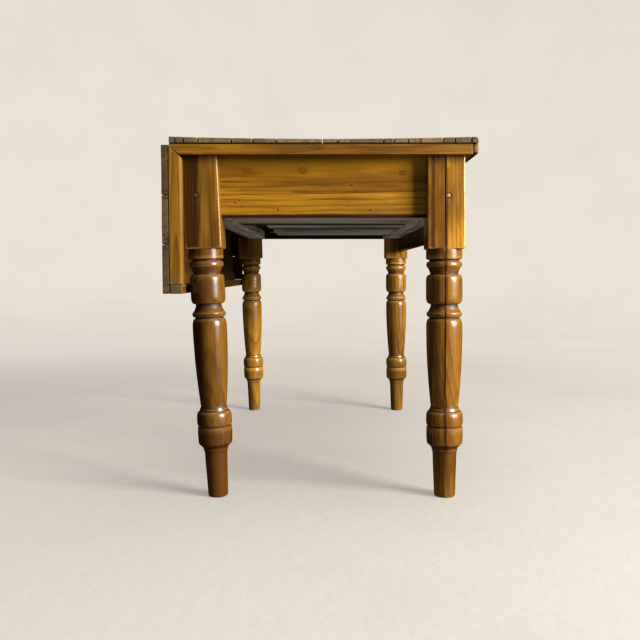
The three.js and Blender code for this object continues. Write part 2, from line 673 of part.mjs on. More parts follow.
function makeDrawer() {
  const leanRoom = RAIL_DEPTH * Math.tan(THREE.MathUtils.degToRad(legAt('far_left').lean));
  const left = postX(legAt('far_left')) + halfPost + leanRoom + DRAWER_GAP;
  const right = postX(legAt('far_right')) - halfPost - DRAWER_GAP;
  const bottom = runnerTop + GAP;
  const top = frameTop - DRAWER_RAIL_HEIGHT - DRAWER_GAP;
  const frontBack = apronFace - RAIL_THICKNESS;
  const back = frontBack - DRAWER_DEPTH;
  const middle = (left + right) / 2;
  const middleZ = (bottom + top) / 2;
  drawer.position.set(middle, frontBack, middleZ);
  const local = (solid) => toGeometry(solid).translate(-middle, -frontBack, -middleZ);

  const front = boxSolid([left, right], [frontBack, apronFace], [bottom + DRAWER_GAP, top])
    .subtract(toSolid(barShape(SPIGOT_RADIUS + GAP, [frontBack - PAST, apronFace + PAST], middle, middleZ)));
  place(drawer, 'drawer_front', 'apron', local(front));
  const knob = knobShape().translate(0, RAIL_THICKNESS, 0);
  place(drawer, 'drawer_knob', 'leg', knob);

  const boxTop = top - DRAWER_HEADROOM;
  const sideLeft = left + DRAWER_GAP;
  const sideRight = right - DRAWER_GAP;
  const bottomZs = [bottom + DRAWER_BOTTOM_RISE, bottom + DRAWER_BOTTOM_RISE + DRAWER_BOTTOM_THICKNESS];
  const grooveZs = [bottomZs[0] - GAP, bottomZs[1] + GAP];
  for (const [word, xs, grooveXs] of [
    ['left', [sideLeft, sideLeft + DRAWER_SIDE_THICKNESS],
      [sideLeft + DRAWER_SIDE_THICKNESS - GROOVE_DEPTH, sideLeft + DRAWER_SIDE_THICKNESS + PAST]],
    ['right', [sideRight - DRAWER_SIDE_THICKNESS, sideRight],
      [sideRight - DRAWER_SIDE_THICKNESS - PAST, sideRight - DRAWER_SIDE_THICKNESS + GROOVE_DEPTH]],
  ]) {
    const side = boxSolid(xs, [back, frontBack - GAP], [bottom, boxTop])
      .subtract(boxSolid(grooveXs, [back - PAST, frontBack], grooveZs));
    place(drawer, `drawer_side_${word}`, 'raw', local(side));
  }
  const insideXs = [sideLeft + DRAWER_SIDE_THICKNESS + GAP, sideRight - DRAWER_SIDE_THICKNESS - GAP];
  const backYs = [back, back + DRAWER_SIDE_THICKNESS];
  place(drawer, 'drawer_back', 'raw', local(boxSolid(insideXs, backYs, [bottomZs[1] + GAP, boxTop])));
  const boardXs = [insideXs[0] - GROOVE_DEPTH + GAP, insideXs[1] + GROOVE_DEPTH - GAP];
  const half = (back + frontBack) / 2;
  place(drawer, 'drawer_bottom_1', 'raw', local(boxSolid(boardXs, [back, half - GAP], bottomZs)));
  place(drawer, 'drawer_bottom_2', 'raw', local(boxSolid(boardXs, [half, frontBack - GAP], bottomZs)));
}

// ---------- assembly ----------

makeTopPlanks();
makeTopEdges();
makeLeaf();
hingePlaces.forEach(([name, y]) => makeHinge(name, y));
makeApron();
makeDrawerRails();
makeSideRail('rail_left', -1, leftRail, leftRailInner, RAIL_DEPTH);
makeSideRail('rail_right', 1, rightRail, rightRailInner, RIGHT_RAIL_DEPTH);
LEGS.forEach((leg) => makeLeg(leg, mortises[leg.name]));
makeFlyRail();
makeUnderside();
makeTopBlocks();
makeDrawer();

export default table;
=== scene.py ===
"""Drop leaf table in old pine: the looks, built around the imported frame.

Metres, in the frame's own axes: +Z up, +Y towards the drawer end, the leaf hanging on the -X side.
"""

import json
import math
from collections import namedtuple

import bmesh
import bpy
from bpy.props import FloatProperty, FloatVectorProperty, IntProperty, PointerProperty
from mathutils import Matrix, Vector, noise


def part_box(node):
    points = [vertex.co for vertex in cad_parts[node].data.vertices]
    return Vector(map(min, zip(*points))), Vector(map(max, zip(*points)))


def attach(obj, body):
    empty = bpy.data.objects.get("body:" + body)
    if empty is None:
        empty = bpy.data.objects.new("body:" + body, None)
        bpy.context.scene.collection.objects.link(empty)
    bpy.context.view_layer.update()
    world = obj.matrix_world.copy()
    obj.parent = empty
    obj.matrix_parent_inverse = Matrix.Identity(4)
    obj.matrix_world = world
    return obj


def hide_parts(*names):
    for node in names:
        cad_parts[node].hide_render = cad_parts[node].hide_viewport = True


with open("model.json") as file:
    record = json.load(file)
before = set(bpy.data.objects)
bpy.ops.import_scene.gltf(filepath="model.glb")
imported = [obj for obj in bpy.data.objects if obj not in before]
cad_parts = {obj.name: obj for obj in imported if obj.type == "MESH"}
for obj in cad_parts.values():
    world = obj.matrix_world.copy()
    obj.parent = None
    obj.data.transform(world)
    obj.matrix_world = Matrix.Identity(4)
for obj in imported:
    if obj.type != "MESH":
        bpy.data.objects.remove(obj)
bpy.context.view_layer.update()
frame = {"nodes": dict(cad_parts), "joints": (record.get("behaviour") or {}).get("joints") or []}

bl_info = {
    "name": "Old Pine Drop Leaf Table",
    "version": (1, 0, 0),
    "blender": (4, 5, 0),
    "location": "View3D > Sidebar > Pine Table",
    "description": "Builds a worn single-leaf pine table on turned legs around its packed frame",
    "category": "Add Mesh",
}

X, Y, Z = 0, 1, 2
ARRIS = "arris"  # the attribute that says where a piece is rubbed, above 0, or grimy and painted with shade, below 0
CRACK = "crack"  # how far a point lies in a crack or a gap, which the finishes paint dark as dirt and painted shade
SHALLOW_CRACK = 0.12  # the mark for the lips of a crack, which paints them a little dark as dirt and painted shade


def mm(value):
    return value / 1000


# ---------- sizes and colours that a user would change ----------


def length(name, description, default):
    return FloatProperty(name=name, description=description, default=default, min=0.0, unit="LENGTH")


def tint(name, description, default):
    return FloatVectorProperty(name=name, description=description, default=default, size=3,
                               min=0.0, max=1.0, subtype="COLOR")


class PineTableSizes(bpy.types.PropertyGroup):
    """How far the table is worn, and how finely it is built."""

    board_arris: length("Board arris", "Rounding of the boards' worn edges", mm(1.6))
    strip_arris: length("Strip arris", "Rounding of the edge strips", mm(1.0))
    strip_chamfer: length("Strip chamfer", "Worn inner edge of the leaf's end strips", mm(5.0))
    rail_arris: length("Rail arris", "Rounding of the rails' edges", mm(1.0))
    post_arris: length("Post arris", "Rounding of the posts' corners", mm(3.0))
    board_wear: length("Board wear", "How far a board's surface is worn back", mm(0.9))
    rail_wear: length("Rail wear", "How far a rail's surface is worn back", mm(0.4))
    leg_wear: length("Leg wear", "How far a leg's surface is worn back", mm(0.45))
    top_dish: length("Dish of the top", "How far scrubbing has dished the middle of the top", mm(4.5))
    top_round: length("Round of the top", "Rounding of the top's free edge", mm(8.0))
    peg_radius: length("Peg radius", "Radius of the draw pegs", mm(4.5))
    leg_steps: IntProperty(name="Leg steps", description="Sides of a turned leg", default=56, min=12)


class PineTableColours(bpy.types.PropertyGroup):
    """The pine's colours."""

    top: tint("Top", "Early wood of the top and the leaf", (0.30, 0.150, 0.034))
    edge: tint("Edge strips", "Early wood of the strips under the edges", (0.31, 0.134, 0.005))
    leg: tint("Legs", "Early wood of the turned legs", (0.455, 0.205, 0.018))
    apron: tint("Rails", "Early wood of the apron and the rails", (0.52, 0.235, 0.006))
    dusty: tint("Dusty boards", "Dust and bare pine of the underside", (0.74, 0.65, 0.54))
    raw: tint("Bare pine", "Pine that was never finished", (0.44, 0.26, 0.11))
    peg: tint("Pegs", "Pegs' end grain", (0.62, 0.36, 0.13))
    iron: tint("Iron", "Iron of the hinges", (0.055, 0.046, 0.040))
    floor: tint("Floor", "Floor and backdrop", (0.86, 0.80, 0.725))


def sizes():
    return bpy.context.scene.pine_table_sizes


def colours():
    return bpy.context.scene.pine_table_colours


# ---------- finishes ----------


class Value:
    """A number in a shader. Arithmetic on it adds Math nodes."""

    def __init__(self, finish, socket):
        self.finish = finish
        self.socket = socket

    def step(self, operation, *others):
        return self.finish.math(operation, self, *others)

    def __add__(self, other):
        return self.step("ADD", other)

    __radd__ = __add__

    def __sub__(self, other):
        return self.step("SUBTRACT", other)

    def __rsub__(self, other):
        return self.finish.math("SUBTRACT", other, self)

    def __mul__(self, other):
        return self.step("MULTIPLY", other)

    __rmul__ = __mul__

    def __truediv__(self, other):
        return self.step("DIVIDE", other)

    def __rtruediv__(self, other):
        return self.finish.math("DIVIDE", other, self)

    def __pow__(self, power):
        return self.step("POWER", power)

    def __abs__(self):
        return self.step("ABSOLUTE")


class Finish:
    """One material, with its nodes added by a few plain calls."""

    def __init__(self, name):
        self.material = bpy.data.materials.new(name)
        self.material.use_nodes = True
        self.tree = self.material.node_tree
        self.tree.nodes.clear()
        out = self.add("ShaderNodeOutputMaterial")
        self.shader = self.add("ShaderNodeBsdfPrincipled")
        self.tree.links.new(self.shader.outputs[0], out.inputs[0])

    def add(self, kind, settings=None, values=None):
        """Adds a node: its settings first, then the values or links of its sockets."""
        node = self.tree.nodes.new(kind)
        for key, value in (settings or {}).items():
            setattr(node, key, value)
        for key, value in (values or {}).items():
            self.feed(node.inputs[key], value)
        return node

    def feed(self, socket, value):
        if isinstance(value, Value):
            self.tree.links.new(value.socket, socket)
        elif isinstance(value, bpy.types.NodeSocket):
            self.tree.links.new(value, socket)
        elif isinstance(value, tuple) and len(value) == 3 and socket.type == "RGBA":
            socket.default_value = (*value, 1)
        else:
            socket.default_value = value

    def math(self, operation, *values):
        node = self.add("ShaderNodeMath", {"operation": operation}, dict(enumerate(values)))
        return Value(self, node.outputs[0])

    def place(self):
        """The three object coordinates, as numbers."""
        point = self.add("ShaderNodeTexCoord").outputs["Object"]
        split = self.add("ShaderNodeSeparateXYZ", None, {0: point})
        return [Value(self, out) for out in split.outputs]

    def vector(self, x, y, z):
        return self.add("ShaderNodeCombineXYZ", None, {0: x, 1: y, 2: z}).outputs[0]

    def noise(self, x, y, z, detail=2.0, roughness=0.5):
        node = self.add("ShaderNodeTexNoise", None, {
            "Vector": self.vector(x, y, z), "Scale": 1.0, "Detail": detail, "Roughness": roughness})
        return Value(self, node.outputs[0])

    def rise(self, value, low, high):
        """0 below low, 1 above high, and a smooth step between."""
        node = self.add("ShaderNodeMapRange", {"interpolation_type": "SMOOTHSTEP"}, {
            "Value": value, "From Min": low, "From Max": high})
        return Value(self, node.outputs[0])

    def attribute(self, name):
        node = self.add("ShaderNodeAttribute", {"attribute_type": "GEOMETRY", "attribute_name": name})
        return Value(self, node.outputs["Fac"])

    def blend(self, first, second, share, kind="MIX"):
        """Second laid over first."""
        node = self.add("ShaderNodeMix", {"data_type": "RGBA", "blend_type": kind},
                        {0: share, 6: first, 7: second})
        return node.outputs[2]

    def surface(self, colour, roughness, height, depth, **steady):
        """Feeds the shader: what varies first, then values that are the same all over."""
        self.feed(self.shader.inputs["Base Color"], colour)
        self.feed(self.shader.inputs["Roughness"], roughness)
        bump = self.add("ShaderNodeBump", None, {"Strength": 1.0, "Distance": depth, "Height": height})
        self.feed(self.shader.inputs["Normal"], bump.outputs[0])
        for key, value in steady.items():
            self.feed(self.shader.inputs[key.replace("_", " ").title().replace("Ior", "IOR")], value)
        return self.material


def scaled(colour, share):
    return tuple(min(1.0, part * share) for part in colour)


def toward(colour, other, share):
    return tuple(a + (b - a) * share for a, b in zip(colour, other))


BLACK_BROWN = (0.010, 0.005, 0.002)
DRY_GREY = (0.20, 0.150, 0.090)
OLD_VARNISH = (0.085, 0.024, 0.003)
DIRT = (0.045, 0.035, 0.026)

LOOK = ("dark", "stain", "streak", "worn", "roughness", "gloss", "ring", "relief")
# Each wood's look: dark is the late wood's share of the early wood's colour, stain how far old varnish has
# darkened it in patches, streak how dark its streaks are, worn how pale its rubbed edges are, ring the ring
# spacing and relief the depth of the grain, both in mm
WOODS = {
    "top": (0.40, 0.60, 0.45, 0.50, 0.62, 0.16, 6.5, 0.30),
    "edge": (0.38, 0.65, 0.60, 0.70, 0.46, 0.25, 4.0, 0.20),
    "leg": (0.30, 0.85, 0.75, 0.50, 0.27, 0.65, 5.0, 0.09),
    "apron": (0.36, 0.60, 0.80, 0.60, 0.44, 0.28, 8.0, 0.18),
    "dusty": (0.35, 0.60, 0.85, 0.40, 0.85, 0.15, 6.0, 0.40),
    "raw": (0.55, 0.40, 0.40, 0.30, 0.72, 0.20, 5.0, 0.35),
    "peg": (0.62, 0.15, 0.20, 0.40, 0.55, 0.25, 1.6, 0.25),
}


def painted_joint_shadow(axis, half, width):
    """A painted shadow in the joint along one side of a piece: half reaches, signed, from its middle to that
    side.
    """
    inward = -math.copysign(width, half)
    return axis, half + inward, half + inward * 0.5, 0.95, BLACK_BROWN


def wood(name, kind, low, high, grain, seed, pith=(0.02, -0.07), knots=(), holes=(), bands=(), shade=(),
         tone=1.0, checks=0.55):
    """Old pine: growth rings about a pith line, fibres, stain, knots, holes, rubbed arrises and grey ends.

    grain is the axis the fibres run along. pith is the heart's place beside and below the middle of the
    board. knots are (along, across, radius) and holes the same, from the middle of the piece. bands of dark
    heartwood are (across, width, share). shade is (axis, start, end, share, colour): between start and end,
    measured from the middle, it sets in, and past end a share of that colour lies on the wood. tone lightens
    or darkens the whole piece, and checks is how strongly its ends are cracked.
    """
    look = dict(zip(LOOK, WOODS[kind]))
    early = scaled(getattr(colours(), kind), tone)
    finish = Finish(name)
    middle, size = (low + high) / 2, high - low
    wide, thin = sorted((axis for axis in (X, Y, Z) if axis != grain), key=lambda axis: -size[axis])
    at = finish.place()
    along, across, through = (at[axis] - middle[axis] for axis in (grain, wide, thin))
    shift = seed * 3.7

    wander = finish.noise(along * 1.7 + shift, across * 4.5 + shift, through * 4.5, 2.0) - 0.5
    ripple = finish.noise(along * 8 + shift, across * 22, through * 22 + shift, 2.0) - 0.5
    bent = across - pith[0] + wander * 0.05 + ripple * 0.008
    risen = through - pith[1] + wander * 0.03
    nearest = None
    for place, side, radius in knots:
        du, dv = (along - place) / radius, (across - side) / radius
        near = (0 - du * du * 0.07 - dv * dv * 0.20).step("EXPONENT")
        bent = bent - dv * near * radius * 0.85
        away = (du * du * 0.45 + dv * dv) ** 0.5 + ripple * 2.4
        nearest = away if nearest is None else nearest.step("MINIMUM", away)
    rings = (bent * bent + risen * risen) ** 0.5 + along * 0.012
    saw = (rings / mm(look["ring"])).step("FRACT")
    late = (saw ** 2.6).step("MINIMUM", (1 - saw) * 7)
    fibre = finish.noise(along * 14 + shift, across * 520, through * 520, 3.0, 0.6)
    streak = finish.noise(along * 3.5, across * 130 + shift, through * 130, 4.0, 0.65)
    patch = finish.noise(along * 2.6 + shift * 2, across * 11, through * 11 + shift, 3.0, 0.55)
    blotch = finish.noise(along * 22 + shift, across * 34, through * 34, 4.0, 0.6)

    dark = toward(scaled(early, look["dark"]), OLD_VARNISH, 0.25)
    colour = finish.blend(early, dark, late * (0.5 + patch * 0.8))
    colour = finish.blend(colour, scaled(early, 1.35), finish.rise(streak, 0.52, 0.75) * 0.5)
    stain = toward(dark, OLD_VARNISH, 0.6)
    colour = finish.blend(colour, stain, (1 - finish.rise(streak, 0.32, 0.46)) * look["streak"])
    colour = finish.blend(colour, stain, finish.rise(patch, 0.46, 0.66) * look["stain"])
    colour = finish.blend(colour, stain, finish.rise(blotch, 0.56, 0.78) * look["stain"] * 0.55)
    colour = finish.blend(colour, finish.add("ShaderNodeMapRange", None, {
        "Value": fibre, "To Min": 0.30, "To Max": 1.72}).outputs[0], 1.0, "MULTIPLY")
    for side, width, share in bands:
        edge = abs(across - side + wander * 0.02 + ripple * 0.006) / (width / 2)
        heartwood = toward(stain, scaled(OLD_VARNISH, 0.35), share)
        band = (1 - finish.rise(edge, 0.6, 1.15)) * share * (0.88 + late * 0.12)
        colour = finish.blend(colour, heartwood, band)
    if nearest is not None:
        colour = finish.blend(colour, toward(early, OLD_VARNISH, 0.8), 1 - finish.rise(nearest, 0.75, 1.0))
        rim = 1 - finish.rise(abs(nearest - 0.95), 0.06, 0.32)
        colour = finish.blend(colour, toward(OLD_VARNISH, BLACK_BROWN, 0.6), rim * 0.65)
    spots = None
    for place, side, radius in holes:
        du, dv = (along - place) / radius, (across - side) / radius
        spot = 1 - finish.rise((du * du + dv * dv) ** 0.5 + ripple * 0.6, 0.7, 1.1)
        spots = spot if spots is None else spots.step("MAXIMUM", spot)

    # ends: grey and open, with the rings and the checks showing
    reach = mm(4.0 if kind == "edge" else 2.2)
    ends = finish.rise(abs(along) + ripple * 0.004, size[grain] / 2 - reach, size[grain] / 2 - reach * 0.45)
    check = finish.noise(shift, across * 110, through * 45, 4.0, 0.7)
    grey = toward(scaled(DRY_GREY, 1.25 * tone), early, 0.35)
    open_check = toward(BLACK_BROWN, DRY_GREY, 0.12)
    end_wood = finish.blend(grey, open_check, finish.rise(check + late * 0.12, 0.48, 0.66) * checks)
    end_wood = finish.blend(end_wood, DIRT, finish.rise(patch, 0.40, 0.62) * 0.55)
    colour = finish.blend(colour, end_wood, ends * (0.2 if kind == "peg" else 0.85))

    # rubbed arrises are pale; inside corners, grooves, cracks and gaps are darkened with old grime and
    # painted shade
    arris = finish.attribute(ARRIS)
    rubbed = finish.rise(arris + (blotch - 0.5) * 0.9, 0.22, 0.75) * look["worn"]
    crease_dirt_and_shade = finish.rise(0 - arris, 0.06, 0.42)
    colour = finish.blend(colour, toward(scaled(early, 1.7), (0.6, 0.42, 0.2), 0.25), rubbed * (1 - ends))
    colour = finish.blend(colour, BLACK_BROWN, crease_dirt_and_shade * 0.9)
    if spots is not None:
        colour = finish.blend(colour, BLACK_BROWN, spots * 0.95)
    for axis, start, end, share, paint in shade:
        colour = finish.blend(colour, paint, finish.rise(at[axis] - middle[axis], start, end) * share)

    roughness = look["roughness"] * (0.6 + blotch * 0.8) + ends * 0.3 + crease_dirt_and_shade * 0.3 + late * 0.04
    height = late * 0.35 + fibre * 0.45 + blotch * 0.6 - ends * check * 1.5
    if spots is not None:
        height = height - spots * 3
    return finish.surface(colour, roughness, height, mm(look["relief"]), specular_ior_level=look["gloss"])


def iron(name, seed):
    """Old wrought iron: near black, brown with rust in patches, a little polished where it rubs."""
    finish = Finish(name)
    x, y, z = finish.place()
    patch = finish.noise(x * 60 + seed, y * 60, z * 60, 5.0, 0.65)
    grit = finish.noise(x * 900, y * 900, z * 900 + seed, 2.0)
    rust = finish.rise(patch, 0.48, 0.66)
    colour = finish.blend(tuple(colours().iron), (0.12, 0.045, 0.018), rust)
    rubbed = finish.rise(finish.attribute(ARRIS) + (patch - 0.5), 0.2, 0.7)
    colour = finish.blend(colour, (0.22, 0.20, 0.18), rubbed * 0.6)
    finish.feed(finish.shader.inputs["Metallic"], 0.85 - rust * 0.7)
    roughness = 0.42 + rust * 0.4 + (grit - 0.5) * 0.2
    return finish.surface(colour, roughness, patch * 0.7 + grit * 0.3, mm(0.25))


# ---------- shapes ----------


def cut(bm, axis, places):
    """Cuts the whole shape by flat planes across an axis."""
    normal = Vector((0, 0, 0))
    normal[axis] = 1
    for place in places:
        everything = bm.verts[:] + bm.edges[:] + bm.faces[:]
        bmesh.ops.bisect_plane(bm, geom=everything, dist=1e-7, plane_co=normal * place, plane_no=normal)


def evenly(start, end, step):
    """Places between start and end, about a step apart."""
    count = max(1, round((end - start) / step))
    return [start + (end - start) * index / count for index in range(1, count)]


def bevel(bm, edges, radius, segments):
    bmesh.ops.bevel(bm, geom=edges, offset=radius, offset_type="OFFSET", segments=segments, profile=0.5,
                    affect="EDGES", material=-1, clamp_overlap=True)


def block(low, high, arris, rounded=(), round_radius=0.0):
    """A square-cut piece with its edges rounded; rounded picks edges by the way their faces look."""
    bm = bmesh.new()
    bmesh.ops.create_cube(bm, size=1.0)
    bmesh.ops.scale(bm, vec=high - low, verts=bm.verts)
    bmesh.ops.translate(bm, vec=(low + high) / 2, verts=bm.verts)
    bm.normal_update()
    for ways in rounded:
        picked = [edge for edge in bm.edges
                  if all(any(face.normal.dot(way) > 0.9 for face in edge.link_faces) for way in ways)]
        bevel(bm, picked, round_radius, 6)
    sharp = [edge for edge in bm.edges if edge.calc_face_angle(0.0) > math.radians(40)]
    bevel(bm, sharp, arris, 3)
    return bm


def gridded(bm, low, high, arris, step):
    """Adds the cuts that let a piece's surface be worn and its edges marked."""
    for axis in (X, Y, Z):
        size = high[axis] - low[axis]
        inset = min(arris * 2.2, size * 0.3)
        near, far = low[axis] + inset, high[axis] - inset
        cut(bm, axis, [near, *evenly(near, far, step), far])


def bend_at(vert):
    """How far a point stands out from its neighbours: above 0 on an arris, below 0 in a groove."""
    total = 0.0
    for edge in vert.link_edges:
        way = edge.other_vert(vert).co - vert.co
        if way.length > 1e-7:
            total -= vert.normal.dot(way.normalized())
    return total / max(1, len(vert.link_edges))


def weather(bm, depth, seed, coarse=0.06):
    """Wears a surface back, most on its arrises, and never out past where it was."""
    bm.normal_update()
    shift = Vector((seed * 7.31, seed * 3.17, seed * 5.71))
    moves = []
    for vert in bm.verts:
        slow = 0.5 + 0.5 * noise.noise((vert.co + shift) / coarse)
        quick = 0.5 + 0.5 * noise.noise((vert.co + shift) / (coarse / 5))
        share = 0.65 * slow + 0.35 * quick + 2.5 * max(0.0, bend_at(vert)) * slow
        moves.append(vert.normal * depth * max(0.0, share))
    for vert, move in zip(bm.verts, moves):
        vert.co -= move


def add_shape(bm, other):
    """Moves another shape into this one."""
    loose = bpy.data.meshes.new("loose")
    other.to_mesh(loose)
    other.free()
    bm.from_mesh(loose)
    bpy.data.meshes.remove(loose)


def crack_layer(bm):
    return bm.verts.layers.float.get(CRACK) or bm.verts.layers.float.new(CRACK)


def split(bm, axis, place, end, depth, half_width, grain):
    """Opens a split in from an end: the cut at place is pulled back along the grain, its sides stay."""
    cut(bm, axis, [place - half_width, place, place + half_width])
    marks = crack_layer(bm)
    sign = 1 if end < 0 else -1
    edge = min(sign * vert.co[grain] for vert in bm.verts)
    for vert in bm.verts:
        inward = sign * vert.co[grain] - edge
        if inward > depth or abs(vert.co[axis] - place) > half_width * 1.01:
            continue
        if abs(vert.co[axis] - place) < 1e-6:
            vert.co[grain] = sign * (edge + depth + inward * 0.02)
            vert[marks] = 0.5
        elif inward < mm(3):
            vert[marks] = SHALLOW_CRACK


def split_width(share):
    """Half a split's width, different from one split to the next."""
    return mm(0.35 + 0.8 * (share * 7.3 % 1))


def mark_arrises(bm, strength=5.0):
    """Writes what the finishes read: rubbed above 0, and below 0 grimy and painted with shade, as deep as a
    crack is marked.
    """
    crack = crack_layer(bm)
    arris = bm.verts.layers.float.new(ARRIS)
    bm.normal_update()
    for vert in bm.verts:
        bend = max(-1.0, min(1.0, bend_at(vert) * strength))
        vert[arris] = -vert[crack] if vert[crack] > 0 else bend
    bm.verts.layers.float.remove(bm.verts.layers.float[CRACK])


def shown(bm, name, material):
    """Turns a shape into an object in the scene."""
    mesh = bpy.data.meshes.new(name)
    bm.to_mesh(mesh)
    bm.free()
    mesh.shade_smooth()
    mesh.materials.append(material)
    piece = bpy.data.objects.new(name, mesh)
    bpy.context.scene.collection.objects.link(piece)
    return piece


def finished(bm, node, body, slot, material, strength=5.0):
    """Turns a shape into the piece that stands for its node and rides on its body."""
    bmesh.ops.recalc_face_normals(bm, faces=bm.faces)
    mark_arrises(bm, strength)
    stuff = slot.split("_")[1]
    piece = shown(bm, f"{node}_{stuff}", material)
    piece.data.set_sharp_from_angle(angle=math.radians(40))
    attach(piece, body)
    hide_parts(node)


def worn_board(node, body, slot, kind, grain, seed, arris, wear, step=0.05, splits=(), shape=None,
               low=None, high=None, rounded=(), round_radius=0.0, **figure):
    """A board, strip or rail in the place of its node. splits are (end, share across, depth)."""
    node_low, node_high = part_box(node)
    low, high = low or node_low, high or node_high
    bm = block(low, high, arris, rounded, round_radius)
    gridded(bm, low, high, arris, step)
    if shape:
        shape(bm, low, high)
    size = high - low
    wide = max((axis for axis in (X, Y, Z) if axis != grain), key=lambda axis: size[axis])
    for end, share, depth in splits:
        split(bm, wide, low[wide] + size[wide] * share, end, depth, split_width(share), grain)
    weather(bm, wear, seed)
    material = wood(f"{node} pine", kind, low, high, grain, seed, **figure)
    finished(bm, node, body, slot, material)


# ---------- top and leaf ----------

# Each top board: seed, pith beside and below, splits as (end, share across, depth in mm), knots in mm
TOP_BOARDS = [
    (1, (0.06, -0.05), [(-1, 0.22, 30), (-1, 0.52, 44), (1, 0.4, 36)], [(180, 4, 8)]),
    (2, (-0.04, -0.09), [(-1, 0.62, 24), (1, 0.3, 52)], [(-320, 20, 11), (90, -28, 9)]),
    (3, (0.01, -0.06), [(-1, 0.34, 58), (1, 0.66, 30)], [(260, 30, 14), (-120, -10, 9)]),
    (4, (0.03, -0.11), [(-1, 0.22, 34), (-1, 0.86, 22), (1, 0.5, 60)], [(-420, -30, 12), (40, 35, 13)]),
    (5, (-0.02, -0.05), [(-1, 0.3, 48), (-1, 0.55, 26), (1, 0.72, 28)], [(330, -14, 10)]),
    (6, (0.05, -0.08), [(-1, 0.34, 36), (-1, 0.8, 30), (1, 0.3, 40)], [(-60, 8, 9)]),
]
# The leaf's boards in the same way
LEAF_BOARDS = [
    (7, (0.02, -0.06), [], [(-220, 12, 10)]),
    (8, (-0.03, -0.08), [(1, 0.6, 44)], [(150, -20, 13), (380, 18, 8)]),
    (9, (0.01, -0.05), [(1, 0.3, 34)], [(-380, 0, 11)]),
]
END_STAGGER = mm(0.9)  # how far the near ends of the top's boards are out of line
STRIP_HALF = mm(10.6)  # half the depth of the strips under the top
LEAF_STRIP_HALF = mm(13.3)  # half the depth of the strips inside the leaf
HINGE_AXIS = Vector(next(joint["pos_m"] for joint in frame["joints"] if joint["name"] == "leaf_hinge"))
MITRE_CLEARANCE = mm(0.15)
MITRE_REACH = mm(9)  # how far from a strip's end the mitre may move its points
MITRE_MARK = mm(1.2)  # how far in from the end the cut is painted dark: painted shadow in the mitre's gap


def in_metres(rows):
    return [tuple(mm(value) for value in row) for row in rows]


def make_top():
    size = sizes()
    left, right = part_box("top_plank_1")[0].x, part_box("top_plank_6")[1].x
    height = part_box("top_plank_1")[1].z
    middle, half = (left + right) / 2, (right - left) / 2

    for index, (seed, pith, splits, knots) in enumerate(TOP_BOARDS, 1):
        node = f"top_plank_{index}"
        low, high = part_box(node)
        high.z = height
        last = index == len(TOP_BOARDS)
        rounded = [(Vector((1, 0, 0)), Vector((0, 0, 1)))] if last else []
        bm = block(low, high, size.board_arris, rounded, size.top_round)
        gridded(bm, low, high, size.board_arris, 0.035)
        for vert in bm.verts:
            share = (vert.co.z - low.z) / (high.z - low.z)
            vert.co.z -= size.top_dish * (1 - ((vert.co.x - middle) / half) ** 2) * share
        for end, share, depth in splits:
            split(bm, X, low.x + (high.x - low.x) * share, end, mm(depth), split_width(share), Y)
        short = max(0.0, END_STAGGER * noise.noise(Vector((seed * 1.7, 0.3, 0.9))))
        for vert in bm.verts:
            if vert.co.y < low.y + mm(8):
                vert.co.y += short
        weather(bm, size.board_wear, seed)
        # a painted shadow along the board's lower edge, in the gap over the strips
        under = painted_joint_shadow(Z, (low.z - high.z) / 2, mm(2.2))
        material = wood(f"{node} pine", "top", low, high, Y, seed, pith, in_metres(knots), shade=[under])
        finished(bm, node, "table", "top_wood", material)

    # the strip's underside is painted dark: painted shade
    worn_board("top_edge_right", "table", "edge_wood", "edge", Y, 11, mm(3.2), mm(1.2), pith=(0.01, -0.03),
               shade=[painted_joint_shadow(Z, -STRIP_HALF, mm(4.0))], checks=0.9)
    # a painted shadow along the strips' upper edge, under the boards
    for seed, end in ((12, "near"), (13, "far")):
        worn_board(f"top_edge_{end}", "table", "edge_wood", "edge", X, seed, size.strip_arris, mm(0.25),
                   shape=mitre_to_hinge, pith=(0.004, -0.035), shade=[painted_joint_shadow(Z, STRIP_HALF, mm(2.4))])


def mitre_to_hinge(bm, low, high):
    """Slants the strip's left end, 45 degrees, so that the leaf clears it."""
    mitre = HINGE_AXIS.x + HINGE_AXIS.z + MITRE_CLEARANCE
    marks = crack_layer(bm)
    for vert in bm.verts:
        # the cut's end is marked, which paints it dark: painted shadow in the mitre's gap
        if vert.co.x < low.x + MITRE_MARK:
            vert[marks] = 0.5
        if vert.co.x < low.x + MITRE_REACH:
            vert.co.x += max(0.0, mitre - vert.co.z - low.x)


def mitre_to_top(bm, low, high):
    """Slants the upper end of a hanging strip in the same way."""
    mitre = HINGE_AXIS.x + HINGE_AXIS.z - MITRE_CLEARANCE
    marks = crack_layer(bm)
    for vert in bm.verts:
        # the cut's end is marked, which paints it dark: painted shadow in the mitre's gap
        if vert.co.z > high.z - MITRE_MARK:
            vert[marks] = 0.5
        if vert.co.z > high.z - MITRE_REACH:
            vert.co.z -= max(0.0, high.z + vert.co.x - mitre)


def make_leaf():
    size = sizes()
    for index, (seed, pith, splits, knots) in enumerate(LEAF_BOARDS, 1):
        worn_board(f"leaf_plank_{index}", "leaf", "leaf_wood", "top", Y, seed, size.board_arris / 2,
                   size.board_wear, 0.035, [(end, share, mm(depth)) for end, share, depth in splits],
                   pith=pith, knots=in_metres(knots), checks=0.9, tone=0.52)
    worn_board("leaf_edge_outer", "leaf", "edge_wood", "edge", Y, 14, mm(2.6), mm(0.8), pith=(0.0, -0.03),
               tone=0.6)
    # a painted shadow along the strips' outer side, in the joint with the boards
    for seed, end, way in ((15, "near", -1), (16, "far", 1)):
        worn_board(f"leaf_edge_{end}", "leaf", "edge_wood", "edge", Z, seed, size.strip_arris, mm(0.25),
                   shape=mitre_to_top, rounded=[(Vector((1, 0, 0)), Vector((0, way, 0)))],
                   round_radius=size.strip_chamfer, pith=(0.003, -0.03),
                   shade=[painted_joint_shadow(X, -LEAF_STRIP_HALF, mm(2.0))])


# ---------- legs ----------

